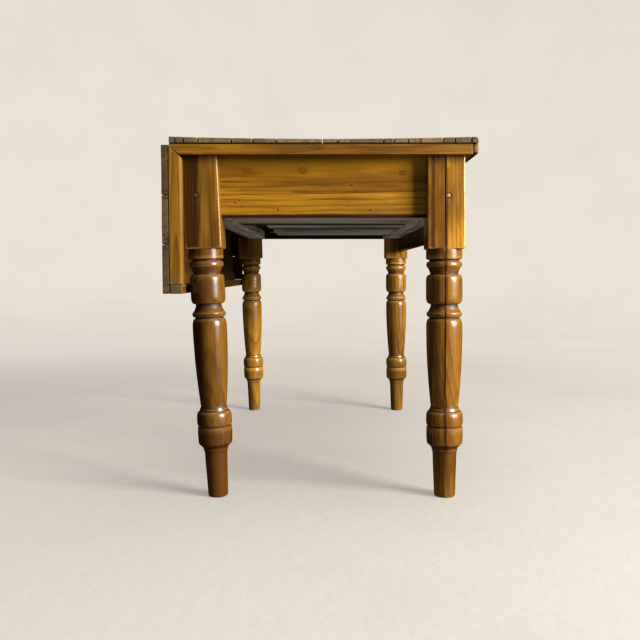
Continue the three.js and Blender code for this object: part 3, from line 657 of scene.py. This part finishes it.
# The turning, downwards from the square in mm: drop, depth cut below the square's face, line
TURNING = [
    (20, 0.4, "line"), (2.5, 7.4, "line"), (2, 7.4, "line"),
    (8.5, 0.9, "round"), (1.5, 0.9, "line"), (3, 3.4, "line"),
    (4, 6, "line"), (8.5, 8.9, "line"), (2, 8.9, "line"),
    (14, 0.3, "round"), (34, 0.2, "line"), (14.5, 9.6, "round"),
    (2.5, 10, "line"), (6, 8.3, "line"), (6, 5, "line"), (4, 1.2, "line"),
    (1.5, 1.2, "line"), (7.5, 6.6, "round"),
    (2.5, 6.9, "line"), (18.5, 0.4, "round"), (166, 9.4, "belly"),
    (3, 9.4, "line"), (4.5, 6.9, "line"), (4, 6.3, "line"),
    (16.5, -0.5, "round"), (4, -0.5, "line"), (10, 1.6, "round"),
    (1.5, 3.4, "line"), (2.5, 0.4, "line"),
    (13, -0.2, "line"), (14, 0.5, "line"), (10, 3.8, "round"), (4.5, 7.6, "line"), (8, 11, "hollow"),
    (21.5, 13.4, "hollow"), (42, 14.9, "line"),
]
POST_SIZE = mm(76)
SQUARE_LENGTH = mm(210)
SQUARE_OVERLAP = mm(6)  # how far the turning runs up into the square, and the square past the leg's top
FOOT_WASTE = mm(1.2)  # what is cut level off the leaning foot
FOOT_CUT = mm(16)
FOOT_ROUND = mm(5)
CRACK_HALF_WIDTH = mm(0.9)
CRACK_DEPTH = mm(7)
CRACK_REACH = mm(6)  # how far behind the post's face the crack still moves its sides
LATHE_CORE = mm(12)  # the part about the axis that the crack leaves alone
PEG_HOLE_DEPTH = mm(9)
PEG_HOLE_ROOM = mm(0.8)  # between a peg and its hole's rim

# Each leg: its lean in degrees, its girth, its seed, the heart's place in it, its crack (how far down it
# runs and how far beside the middle, in mm), its bands of dark heartwood, its tone, and how dark its
# turning, its foot and its peg are
Leg = namedtuple("Leg", "lean girth seed heart crack bands tone turning_shade foot_shade peg_shade")
LEGS = {
    "near_left": Leg(2.4, 0.96, 21, (0.016, -0.012), None, [(-0.022, 0.058, 1.0)],
                     0.66, 0.42, 0.70, 0.92),
    "near_right": Leg(0.6, 1.0, 22, (-0.010, 0.014), (640, -3), [(0.002, 0.006, 0.8), (-0.026, 0.009, 0.8)],
                      1.50, 0.66, 0.15, 0.0),
    "far_left": Leg(1.1, 0.88, 23, (0.012, 0.010), None, [(0.0, 0.03, 0.4)], 1.25, 0.12, 0.10, 0.5),
    "far_right": Leg(0.6, 0.92, 24, (-0.014, -0.008), None, [(-0.01, 0.02, 0.5)], 1.15, 0.25, 0.20, 0.5),
}


def curve(start, control, end, count):
    """Points on a quadratic curve, after its start."""
    points = []
    for index in range(1, count + 1):
        t = index / count
        points.append(tuple((1 - t) ** 2 * a + 2 * t * (1 - t) * b + t * t * c
                            for a, b, c in zip(start, control, end)))
    return points


def turned_outline(half, girth, floor):
    """The turning's outline as (radius, height), from inside the square down to the floor."""
    radius, height = (half - mm(TURNING[0][1])) * girth, -SQUARE_LENGTH
    points = [(0, height + SQUARE_OVERLAP), (radius, height + SQUARE_OVERLAP), (radius, height)]
    for drop, depth, line in TURNING:
        after = ((half - mm(depth)) * girth, height - mm(drop))
        before = (radius, height)
        wide, slim = max(radius, after[0]), min(radius, after[0])
        at_slim = after[1] if radius > after[0] else height
        at_wide = height if radius > after[0] else after[1]
        if line == "line":
            between = ((radius + after[0]) / 2, (height + after[1]) / 2)
            points += curve(before, between, after, max(1, round(drop / 9)))
        elif line == "round":
            points += curve(before, (wide, at_slim), after, 7)
        elif line == "hollow":
            points += curve(before, (slim, at_wide), after, 6)
        else:
            points += curve(before, (wide, (height + after[1]) / 2), after, 16)
        radius, height = after
    foot = (half - FOOT_CUT) * girth
    between = ((radius + foot) / 2, (height + floor) / 2)
    points += curve((radius, height), between, (foot, floor + FOOT_ROUND), 3)
    points += curve((foot, floor + FOOT_ROUND), (foot, floor), (foot - FOOT_ROUND, floor), 4)
    points.append((0, floor))
    return points


def turned(points, steps):
    """A full turn of an outline of (radius, height) about the upright axis."""
    bm = bmesh.new()
    verts = [bm.verts.new((radius, 0, height)) for radius, height in points]
    edges = [bm.edges.new(pair) for pair in zip(verts, verts[1:])]
    bmesh.ops.spin(bm, geom=verts + edges, cent=(0, 0, 0), axis=(0, 0, 1), dvec=(0, 0, 0),
                   angle=math.tau, steps=steps, use_merge=True, use_duplicate=False)
    bmesh.ops.remove_doubles(bm, verts=bm.verts, dist=1e-6)
    bmesh.ops.recalc_face_normals(bm, faces=bm.faces)
    return bm


def crack_share(drop, end):
    """How far the crack is open at a drop in mm below the post's top: it runs out towards its end."""
    if not 0 <= drop <= end:
        return 0.0
    taper = min(1.0, (end - drop) / 60)
    return taper * max(0.08, 0.55 + 0.75 * noise.noise(Vector((drop / 31, 0.4, 0.7))))


def crack_aside(drop):
    """How far the crack wanders sideways at a drop in mm below the post's top."""
    wander = noise.noise(Vector((drop / 70, 1.3, 0.2)))
    ripple = noise.noise(Vector((drop / 17, 2.3, 0.2)))
    return mm(2.4 * wander + 0.9 * ripple)


def open_turning(bm, steps, crack):
    """Opens the crack down the turning: one line is pulled inwards, its neighbours close beside it."""
    end, aside = crack
    marks = crack_layer(bm)
    between = math.tau / steps
    for vert in bm.verts:
        radius = math.hypot(vert.co.x, vert.co.y)
        if radius < LATHE_CORE:
            continue
        drop = -vert.co.z * 1000
        share = crack_share(drop, end)
        column = round(math.atan2(vert.co.y, vert.co.x) / between)
        if share <= 0 or abs(column) > 1:
            continue
        pull = min(1, share * 4)
        angle = column * (between + (CRACK_HALF_WIDTH / radius - between) * pull)
        angle += crack_aside(drop) / radius * pull * 0.5
        vert[marks] = SHALLOW_CRACK if column else share
        if column == 0:
            radius -= CRACK_DEPTH * share
        vert.co.x, vert.co.y = radius * math.cos(angle), radius * math.sin(angle)
    to_near_face = -math.pi / 2 + mm(aside) / (POST_SIZE / 2)
    bmesh.ops.rotate(bm, cent=(0, 0, 0), matrix=Matrix.Rotation(to_near_face, 3, "Z"), verts=bm.verts)


def open_square(bm, half, crack):
    """Opens the same crack in the post's near face."""
    end, aside = crack
    place = mm(aside)
    marks = crack_layer(bm)
    cut(bm, X, [place - CRACK_HALF_WIDTH, place, place + CRACK_HALF_WIDTH])
    for vert in bm.verts:
        if vert.co.y > CRACK_REACH - half or abs(vert.co.x - place) > CRACK_HALF_WIDTH * 1.01:
            continue
        drop = max(0.0, -vert.co.z * 1000)
        share = crack_share(drop, end)
        vert[marks] = SHALLOW_CRACK
        if abs(vert.co.x - place) < 1e-6:
            vert.co.y += CRACK_DEPTH * share
            vert[marks] = max(SHALLOW_CRACK, share)
        vert.co.x += crack_aside(drop)


def peg_hole(bm, centre, half, radius):
    """Sinks a round hole for a peg in a post; centre is (x, z, the way the face looks)."""
    x, z, sign = centre
    pad = radius * 1.9
    marks = crack_layer(bm)
    cut(bm, X, [x - pad, x + pad])
    cut(bm, Z, [z - pad, z + pad])
    inside = [face for face in bm.faces
              if sign * face.normal.y > 0.9 and abs(face.calc_center_median().x - x) < pad
              and abs(face.calc_center_median().z - z) < pad]
    face = inside[0]
    if len(inside) > 1:
        face = bmesh.ops.dissolve_faces(bm, faces=inside, use_verts=True)["region"][0]
    bmesh.ops.subdivide_edges(bm, edges=face.edges[:], cuts=3, use_grid_fill=False)
    face = max((f for f in bm.faces if sign * f.normal.y > 0.9
                and (f.calc_center_median() - Vector((x, sign * half, z))).length < pad * 0.6),
               key=lambda f: len(f.verts))
    bmesh.ops.inset_region(bm, faces=[face], thickness=pad * 0.25, depth=0.0, use_even_offset=True)
    for vert in face.verts:
        way = Vector((vert.co.x - x, 0, vert.co.z - z)).normalized()
        vert.co.x, vert.co.z = x + way.x * radius, z + way.z * radius
        # the rim is marked, which paints it dark: painted shade in the gap about the peg
        vert[marks] = 0.22
    pushed = bmesh.ops.extrude_face_region(bm, geom=[face])["geom"]
    bottom = [part for part in pushed if isinstance(part, bmesh.types.BMVert)]
    bmesh.ops.translate(bm, vec=(0, -sign * PEG_HOLE_DEPTH, 0), verts=bottom)
    bmesh.ops.delete(bm, geom=[face], context="FACES_ONLY")


def sawn_level(bm, place, way):
    """Cuts off what lies past a level, and closes the cut."""
    everything = bm.verts[:] + bm.edges[:] + bm.faces[:]
    sliced = bmesh.ops.bisect_plane(bm, geom=everything, dist=1e-6, plane_co=(0, 0, place),
                                    plane_no=(0, 0, way), clear_outer=True)
    rim = [part for part in sliced["geom_cut"] if isinstance(part, bmesh.types.BMEdge)]
    bmesh.ops.holes_fill(bm, edges=rim, sides=0)


def facing(name):
    """The way a leg's outer face looks along the table: -1 near, 1 far."""
    return -1 if name.startswith("near") else 1


def make_legs():
    size = sizes()
    for name, leg in LEGS.items():
        node = f"leg_{name}"
        low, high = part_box(node)
        half = (high.y - low.y) / 2
        lean = math.radians(leg.lean)
        top = Vector((low.x + half / math.cos(lean), (low.y + high.y) / 2, high.z))
        stance = Matrix.Translation(top) @ Matrix.Rotation(-lean, 4, "Y")

        lathe = turned(turned_outline(half, leg.girth, low.z - high.z - FOOT_WASTE), size.leg_steps)
        if leg.crack:
            open_turning(lathe, size.leg_steps, leg.crack)
        weather(lathe, size.leg_wear, leg.seed, 0.05)

        post_low = Vector((-half, -half, -SQUARE_LENGTH))
        post_high = Vector((half, half, SQUARE_OVERLAP))
        post = block(post_low, post_high, size.post_arris)
        gridded(post, post_low, post_high, size.post_arris, 0.03)
        if leg.crack:
            open_square(post, half, leg.crack)
        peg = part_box(f"peg_{name}")
        centre = stance.inverted() @ ((peg[0] + peg[1]) / 2)
        hole = (centre.x + mm(0.5), centre.z, facing(name))
        peg_hole(post, hole, half, size.peg_radius + PEG_HOLE_ROOM)
        weather(post, size.leg_wear, leg.seed + 0.5, 0.05)

        joined = bmesh.new()
        for part in (lathe, post):
            add_shape(joined, part)
        bmesh.ops.transform(joined, matrix=stance, verts=joined.verts)
        sawn_level(joined, high.z, 1)
        sawn_level(joined, low.z, -1)
        finished(joined, node, "table", "leg_wood", leg_wood(f"{node} pine", top, leg), 6.0)


def leg_wood(name, top, leg):
    """The legs' pine: its rings about an upright heart, darker down the turning and at the foot."""
    middle = Vector((top.x, top.y, top.z / 2))
    reach = Vector((mm(40), mm(38), top.z / 2 + mm(30)))
    shade = [(Z, mm(160), mm(154), leg.turning_shade, OLD_VARNISH),
             (Z, mm(-205), mm(-230), leg.foot_shade, OLD_VARNISH)]
    return wood(name, "leg", middle - reach, middle + reach, Z, leg.seed, leg.heart, bands=leg.bands,
                shade=shade, tone=leg.tone)


def make_pegs():
    size = sizes()
    radius = size.peg_radius
    outline = [(0, mm(-10)), (radius, mm(-10)), (radius, mm(-0.8)), (radius * 0.86, mm(0.2)),
               (radius * 0.5, mm(0.5)), (0, mm(0.6))]
    for seed, (name, leg) in enumerate(LEGS.items(), 30):
        node = f"peg_{name}"
        low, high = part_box(node)
        sign = facing(name)
        face = low.y if sign < 0 else high.y
        bm = turned(outline, 12)
        turn = Matrix.Rotation(math.radians(-90 * sign), 4, "X")
        centre = Vector(((low.x + high.x) / 2, face + sign * mm(0.3), (low.z + high.z) / 2))
        bmesh.ops.transform(bm, matrix=Matrix.Translation(centre) @ turn, verts=bm.verts)
        weather(bm, mm(0.3), seed, 0.01)
        whole = (Y, -1.0, -0.9, leg.peg_shade, scaled(OLD_VARNISH, 0.8))
        material = wood(f"{node} pine", "peg", low, high, Y, seed, (0.001, 0.0015), shade=[whole])
        finished(bm, node, "table", "peg_wood", material)


# ---------- rails ----------

# Each rail: grain, seed, tone, the way its inner face looks, then its knots, worm holes and bands of dark
# heartwood, in mm from its middle
RAILS = {
    "apron_near": (X, 41, 1.0, (Y, 1), [(-155, 25, 5.5), (-40, 24, 5), (166, 19, 5.5), (60, -6, 3)],
                   [(-181, -42, 1.7), (-173, -37, 1.4), (-168, -49, 1.5), (-92, -57, 2.0), (99, -58, 2.0)],
                   [(-8, 26, 0.42), (-69, 9, 0.9)]),
    "rail_left": (Y, 42, 0.7, (X, 1), [(120, 10, 9)], [], []),
    "rail_right": (Y, 43, 0.9, (X, -1), [(-260, -20, 10), (210, 30, 8)], [], [(-50, 40, 0.5)]),
    # the drawer rails' low tone is painted shade, deep inside the table
    "drawer_rail_top": (X, 44, 0.3, (Y, -1), [], [], []),
    "drawer_rail_bottom": (X, 45, 0.3, (Y, -1), [(60, 0, 5)], [], []),
}
RAIL_REACH = mm(16)  # how far a rail runs into the posts


def make_rails():
    size = sizes()
    for node, (grain, seed, tone, (across, way), knots, holes, bands) in RAILS.items():
        low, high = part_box(node)
        if grain == Y:
            low.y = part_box("leg_near_left")[1].y - RAIL_REACH
            high.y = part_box("leg_far_left")[0].y + RAIL_REACH
        else:
            end = "near" if node == "apron_near" else "far"
            low.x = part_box(f"leg_{end}_left")[0].x + POST_SIZE - RAIL_REACH
            high.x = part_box(f"leg_{end}_right")[0].x + RAIL_REACH
        inner = (high[across] - low[across]) / 2
        # the inner face is painted near black: painted shade, with dirt; the lower edge gets a painted
        # shadow; the lower part is darker towards the bottom; the upper part is painted paler: painted light
        # against the shadow of the top's strip
        shade = [(across, way * (inner - mm(2.0)), way * (inner - mm(0.8)), 0.85, BLACK_BROWN),
                 painted_joint_shadow(Z, (low.z - high.z) / 2, mm(7.0)), (Z, mm(-8), mm(-65), 0.30, OLD_VARNISH),
                 (Z, mm(5), mm(45), 0.35, scaled(colours().apron, 1.5))]
        worn_board(node, "table", "apron_wood", "apron", grain, seed, size.rail_arris, size.rail_wear,
                   0.04, low=low, high=high, pith=(0.03, -0.09), shade=shade, tone=tone,
                   knots=in_metres(knots), holes=in_metres(holes),
                   bands=[(mm(side), mm(width), share) for side, width, share in bands])


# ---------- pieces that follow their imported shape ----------


def copy_of(node, arris, segments=2, angle=30):
    """A node's own shape, merged from its loose triangles, with its edges eased."""
    bm = bmesh.new()
    bm.from_mesh(frame["nodes"][node].data)
    for layer in list(bm.loops.layers.uv):
        bm.loops.layers.uv.remove(layer)
    bmesh.ops.remove_doubles(bm, verts=bm.verts, dist=2e-5)
    bmesh.ops.dissolve_limit(bm, angle_limit=math.radians(2), use_dissolve_boundaries=False,
                             verts=bm.verts, edges=bm.edges, delimit=set())
    sharp = [edge for edge in bm.edges if edge.calc_face_angle(0.0) > math.radians(angle)]
    bevel(bm, sharp, arris, segments)
    return bm


def pin(radius, low, high, tip, ease):
    """A round pin from low to high, its ends eased to a share of its radius."""
    return turned([(0, low), (radius * tip, low), (radius, low + ease), (radius, high - ease),
                   (radius * tip, high), (0, high)], 16)


def make_brackets():
    for index, node in enumerate(("fly_rail", "fly_bracket_near", "fly_bracket_far")):
        low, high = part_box(node)
        bm = copy_of(node, mm(0.8))
        material = wood(f"{node} pine", "raw", low, high, Y, 50 + index, (0.02, -0.05))
        finished(bm, node, "table", "raw_wood", material)
    for index, node in enumerate(("fly_pin_near", "fly_pin_far")):
        low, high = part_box(node)
        bm = pin((high.x - low.x) / 2, low.z, high.z, 0.7, mm(0.8))
        bmesh.ops.translate(bm, vec=((low.x + high.x) / 2, (low.y + high.y) / 2, 0), verts=bm.verts)
        finished(bm, node, "table", "hinge_iron", iron(f"{node} iron", index))


SCREWS = ((-0.33, 0.72), (0.0, 0.42), (0.33, 0.72))  # along and across a hinge plate, as shares of its size
TOP_PLATE_FACE = mm(2)  # from a top plate's upper side to its screws
LEAF_PLATE_FACE = mm(2.3)  # from the leaf's boards to the screws of a leaf plate


def screw_head(centre, way):
    """A slotted screw head, a little domed, that looks the given way."""
    radius = mm(3.6)
    bm = turned([(0, mm(-1.0)), (radius, mm(-1.0)), (radius, mm(0.05)), (radius * 0.8, mm(0.35)),
                 (radius * 0.4, mm(0.5)), (0, mm(0.55))], 16)
    cut(bm, X, [mm(-0.45), mm(-0.4), mm(0.4), mm(0.45)])
    for vert in bm.verts:
        if abs(vert.co.x) < mm(0.42) and vert.co.z > 0:
            vert.co.z = mm(-0.4)
    turn = Vector((0, 0, 1)).rotation_difference(way).to_matrix().to_4x4()
    spin = Matrix.Rotation(centre.y * 40, 4, "Z")
    bmesh.ops.transform(bm, matrix=Matrix.Translation(centre) @ turn @ spin, verts=bm.verts)
    return bm


def make_hinges():
    """Butt hinges: plates with their knuckles, three screws in each, and the pin."""
    for index, where in enumerate(("near", "middle", "far")):
        plates = (("top", "table", Vector((0, 0, -1))), ("leaf", "leaf", Vector((1, 0, 0))))
        for side, body, way in plates:
            node = f"hinge_{where}_{side}_plate"
            low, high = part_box(node)
            bm = copy_of(node, mm(0.25), 1, 50)
            for along, out in SCREWS:
                y = (low.y + high.y) / 2 + along * (high.y - low.y)
                if side == "top":
                    centre = Vector((low.x + (high.x - low.x) * out, y, high.z - TOP_PLATE_FACE))
                else:
                    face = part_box("leaf_plank_1")[1].x + LEAF_PLATE_FACE
                    centre = Vector((face, y, high.z - (high.z - low.z) * out))
                add_shape(bm, screw_head(centre, way))
            finished(bm, node, body, "hinge_iron", iron(f"{node} iron", index * 2.3))
        node = f"hinge_{where}_pin"
        low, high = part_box(node)
        half = (high.y - low.y) / 2
        bm = pin((high.x - low.x) / 2, -half, half, 0.8, mm(0.5))
        place = Matrix.Translation((low + high) / 2) @ Matrix.Rotation(math.pi / 2, 4, "X")
        bmesh.ops.transform(bm, matrix=place, verts=bm.verts)
        finished(bm, node, "table", "hinge_iron", iron(f"{node} iron", 9 + index))


# ---------- underside, blocks and drawer ----------

# Each piece under the top: its finish, its grain, and how far it is worn in mm
UNDERSIDE = {
    "runner_left": ("dusty", Y, 0.8),
    "runner_right": ("dusty", Y, 0.8),
    "dust_board_1": ("dusty", X, 1.0),
    "dust_board_2": ("dusty", X, 1.0),
    "dust_board_3": ("dusty", X, 1.0),
    "batten_left": ("dusty", Y, 0.3),
    "batten_right": ("dusty", Y, 0.3),
    "top_block_near": ("raw", X, 0.5),
    "top_block_left": ("raw", Y, 0.5),
    "top_block_right": ("raw", Y, 0.5),
}


def make_underside():
    for seed, (node, (kind, grain, wear)) in enumerate(UNDERSIDE.items(), 60):
        low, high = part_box(node)
        half = (high.y - low.y) / 2
        # the far part of each dust board is painted near black: painted shade at its joint and deep under
        # the top
        shade = [(Y, half * 0.1, half * 0.75, 0.92, BLACK_BROWN)] if node.startswith("dust_board") else []
        worn_board(node, "table", f"{kind}_wood", kind, grain, seed, mm(1.0), mm(wear), pith=(0.02, -0.06),
                   shade=shade)


def make_drawer():
    size = sizes()
    worn_board("drawer_front", "drawer", "apron_wood", "apron", X, 71, mm(1.6), mm(0.5), 0.04,
               pith=(0.02, -0.08), knots=in_metres([(-120, 14, 8), (90, -20, 6)]))
    inside = (("drawer_side_left", Y), ("drawer_side_right", Y), ("drawer_back", X), ("drawer_bottom_1", X),
              ("drawer_bottom_2", X))
    for seed, (node, grain) in enumerate(inside, 72):
        low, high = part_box(node)
        under = (low.z - high.z) / 2
        # each drawer board's underside is painted near black: painted shade inside the table
        shade = [(Z, under + mm(2.0), under + mm(0.5), 0.95, BLACK_BROWN)]
        worn_board(node, "drawer", "raw_wood", "raw", grain, seed, mm(0.9), mm(0.3), 0.06, shade=shade)
    low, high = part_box("drawer_knob")
    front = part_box("drawer_front")[1].y
    radius, reach = (high.x - low.x) / 2, high.y - front
    outline = [(0, mm(-2)), (mm(10.4), mm(-2)), (mm(11), mm(0.6))]
    outline += curve(outline[-1], (radius * 0.47, reach * 0.10), (radius * 0.47, reach * 0.3), 6)
    outline += curve(outline[-1], (radius, reach * 0.36), (radius, reach * 0.62), 8)
    outline += curve(outline[-1], (radius, reach * 0.9), (radius * 0.5, reach * 0.96), 7)
    outline += curve(outline[-1], (radius * 0.25, reach), (0, reach), 4)
    bm = turned(outline, 40)
    place = Matrix.Translation(Vector(((low.x + high.x) / 2, front, (low.z + high.z) / 2)))
    bmesh.ops.transform(bm, matrix=place @ Matrix.Rotation(-math.pi / 2, 4, "X"), verts=bm.verts)
    weather(bm, size.rail_wear / 2, 77, 0.02)
    material = wood("drawer knob pine", "leg", low, high, Y, 77, (0.004, 0.006))
    finished(bm, "drawer_knob", "drawer", "leg_wood", material)


# ---------- stage ----------

EYE = Vector((0.0103, -2.166, 0.475))
EYE_PITCH = 86.53
EYE_LENS = 43.9
EYE_SHIFT = -5 / 640  # as a share of the frame's width


def soft_light(name, place, aim, width, height, power, colour):
    lamp = bpy.data.lights.new(name, "AREA")
    lamp.shape = "RECTANGLE"
    lamp.size, lamp.size_y = width, height
    lamp.energy = power
    lamp.color = colour
    light = bpy.data.objects.new(name, lamp)
    light.location = place
    light.rotation_euler = (Vector(aim) - Vector(place)).to_track_quat("-Z", "Y").to_euler()
    light.visible_camera = False
    bpy.context.scene.collection.objects.link(light)


# Shares of the plaster's colour: what it reflects, and what it gives off near the table and far out
CLEAR_PLASTER = (0.40, 0.37, 0.69)
CLOUDED_PLASTER = (0.385, 0.35, 0.665)


def plaster():
    """Pale lime plaster, faintly clouded. Part of its light is its own, so that it stays even far out."""
    finish = Finish("pale plaster")
    x, y, z = finish.place()
    cloud = finish.noise(x * 1.8, y * 1.8, z * 1.8, 6.0, 0.6)
    grit = finish.noise(x * 30, y * 30, z * 30, 4.0, 0.6)
    shade = finish.rise(cloud + (grit - 0.5) * 0.25, 0.40, 0.70)
    clear, near_glow, far_glow = (scaled(colours().floor, share) for share in CLEAR_PLASTER)
    clouded, near_cloud, far_cloud = (scaled(colours().floor, share) for share in CLOUDED_PLASTER)
    colour = finish.blend(clear, clouded, shade)
    far = finish.rise((x * x + y * y) ** 0.5, 0.8, 3.6)
    glow = finish.blend(near_glow, far_glow, far)
    glow = finish.blend(glow, finish.blend(near_cloud, far_cloud, far), shade)
    finish.feed(finish.shader.inputs["Emission Color"], glow)
    return finish.surface(colour, 0.92, grit, mm(1.5), emission_strength=1.0, specular_ior_level=0.0)


def make_stage():
    radius, bend, wall = 3.6, 1.6, 3.4
    outline = [(0.0, 0.0), (radius, 0.0)]
    outline += curve(outline[-1], (radius + bend, 0.0), (radius + bend, bend), 14)
    outline.append((radius + bend, wall))
    bm = turned(outline, 96)
    bmesh.ops.reverse_faces(bm, faces=bm.faces)
    floor = shown(bm, "floor_and_backdrop", plaster())
    floor.visible_glossy = False
    floor.visible_diffuse = False

    world = bpy.data.worlds.new("soft daylight")
    bpy.context.scene.world = world
    world.use_nodes = True
    sky = world.node_tree.nodes["Background"]
    sky.inputs["Color"].default_value = (1.0, 0.97, 0.93, 1)
    sky.inputs["Strength"].default_value = 0.20
    world.cycles_visibility.glossy = False
    soft_light("window", (3.6, -2.5, 1.75), (0.0, -0.2, 0.4), 1.9, 2.0, 400, (1.0, 0.97, 0.92))
    soft_light("overhead", (0.3, -0.2, 3.3), (0.0, 0.0, 0.0), 2.6, 2.6, 60, (1.0, 0.98, 0.95))

    camera = bpy.data.objects.new("camera", bpy.data.cameras.new("camera"))
    camera.data.lens = EYE_LENS
    camera.data.sensor_width = 36.0
    camera.data.shift_x = EYE_SHIFT
    camera.location = EYE
    camera.rotation_euler = (math.radians(EYE_PITCH), 0, 0)
    bpy.context.scene.collection.objects.link(camera)
    bpy.context.scene.camera = camera
    bpy.context.scene.view_settings.view_transform = "Standard"


# ---------- operators and panel ----------


class PINETABLE_OT_stage(bpy.types.Operator):
    """Builds the floor, the lights and the camera."""

    bl_idname = "pine_table.stage"
    bl_label = "Stage"
    bl_options = {"REGISTER", "UNDO"}

    def execute(self, context):
        make_stage()
        return {"FINISHED"}


class PINETABLE_OT_top(bpy.types.Operator):
    """Builds the top's boards and the strips under its edges."""

    bl_idname = "pine_table.top"
    bl_label = "Top"
    bl_options = {"REGISTER", "UNDO"}

    def execute(self, context):
        make_top()
        return {"FINISHED"}


class PINETABLE_OT_leaf(bpy.types.Operator):
    """Builds the hanging leaf's boards and strips."""

    bl_idname = "pine_table.leaf"
    bl_label = "Leaf"
    bl_options = {"REGISTER", "UNDO"}

    def execute(self, context):
        make_leaf()
        return {"FINISHED"}


class PINETABLE_OT_legs(bpy.types.Operator):
    """Turns the four legs with their posts."""

    bl_idname = "pine_table.legs"
    bl_label = "Legs"
    bl_options = {"REGISTER", "UNDO"}

    def execute(self, context):
        make_legs()
        return {"FINISHED"}


class PINETABLE_OT_pegs(bpy.types.Operator):
    """Drives the draw pegs through the posts."""

    bl_idname = "pine_table.pegs"
    bl_label = "Pegs"
    bl_options = {"REGISTER", "UNDO"}

    def execute(self, context):
        make_pegs()
        return {"FINISHED"}


class PINETABLE_OT_rails(bpy.types.Operator):
    """Builds the apron, the side rails and the drawer rails."""

    bl_idname = "pine_table.rails"
    bl_label = "Rails"
    bl_options = {"REGISTER", "UNDO"}

    def execute(self, context):
        make_rails()
        return {"FINISHED"}


class PINETABLE_OT_brackets(bpy.types.Operator):
    """Builds the fly rail, its brackets and their pins."""

    bl_idname = "pine_table.brackets"
    bl_label = "Brackets"
    bl_options = {"REGISTER", "UNDO"}

    def execute(self, context):
        make_brackets()
        return {"FINISHED"}


class PINETABLE_OT_hinges(bpy.types.Operator):
    """Builds the iron hinges with their screws."""

    bl_idname = "pine_table.hinges"
    bl_label = "Hinges"
    bl_options = {"REGISTER", "UNDO"}

    def execute(self, context):
        make_hinges()
        return {"FINISHED"}


class PINETABLE_OT_underside(bpy.types.Operator):
    """Builds the runners, dust boards, battens and blocks."""

    bl_idname = "pine_table.underside"
    bl_label = "Underside"
    bl_options = {"REGISTER", "UNDO"}

    def execute(self, context):
        make_underside()
        return {"FINISHED"}


class PINETABLE_OT_drawer(bpy.types.Operator):
    """Builds the drawer and its knob."""

    bl_idname = "pine_table.drawer"
    bl_label = "Drawer"
    bl_options = {"REGISTER", "UNDO"}

    def execute(self, context):
        make_drawer()
        return {"FINISHED"}


STEPS = [
    PINETABLE_OT_stage,
    PINETABLE_OT_top,
    PINETABLE_OT_leaf,
    PINETABLE_OT_legs,
    PINETABLE_OT_pegs,
    PINETABLE_OT_rails,
    PINETABLE_OT_brackets,
    PINETABLE_OT_hinges,
    PINETABLE_OT_underside,
    PINETABLE_OT_drawer,
]


class PINETABLE_PT_panel(bpy.types.Panel):
    """Lists the table's steps in the sidebar."""

    bl_idname = "PINETABLE_PT_panel"
    bl_label = "Pine Table"
    bl_space_type = "VIEW_3D"
    bl_region_type = "UI"
    bl_category = "Pine Table"

    def draw(self, context):
        layout = self.layout
        for group in (context.scene.pine_table_sizes, context.scene.pine_table_colours):
            box = layout.box()
            for key in group.__annotations__:
                box.prop(group, key)
        for operator in STEPS:
            layout.operator(operator.bl_idname)


CLASSES = [PineTableSizes, PineTableColours, *STEPS, PINETABLE_PT_panel]


def register():
    for item in CLASSES:
        bpy.utils.register_class(item)
    bpy.types.Scene.pine_table_sizes = PointerProperty(type=PineTableSizes)
    bpy.types.Scene.pine_table_colours = PointerProperty(type=PineTableColours)


def unregister():
    del bpy.types.Scene.pine_table_sizes
    del bpy.types.Scene.pine_table_colours
    for item in reversed(CLASSES):
        bpy.utils.unregister_class(item)


def main():
    register()
    for operator in STEPS:
        getattr(bpy.ops.pine_table, operator.bl_idname.split(".")[1])()


if __name__ == "__main__":
    main()
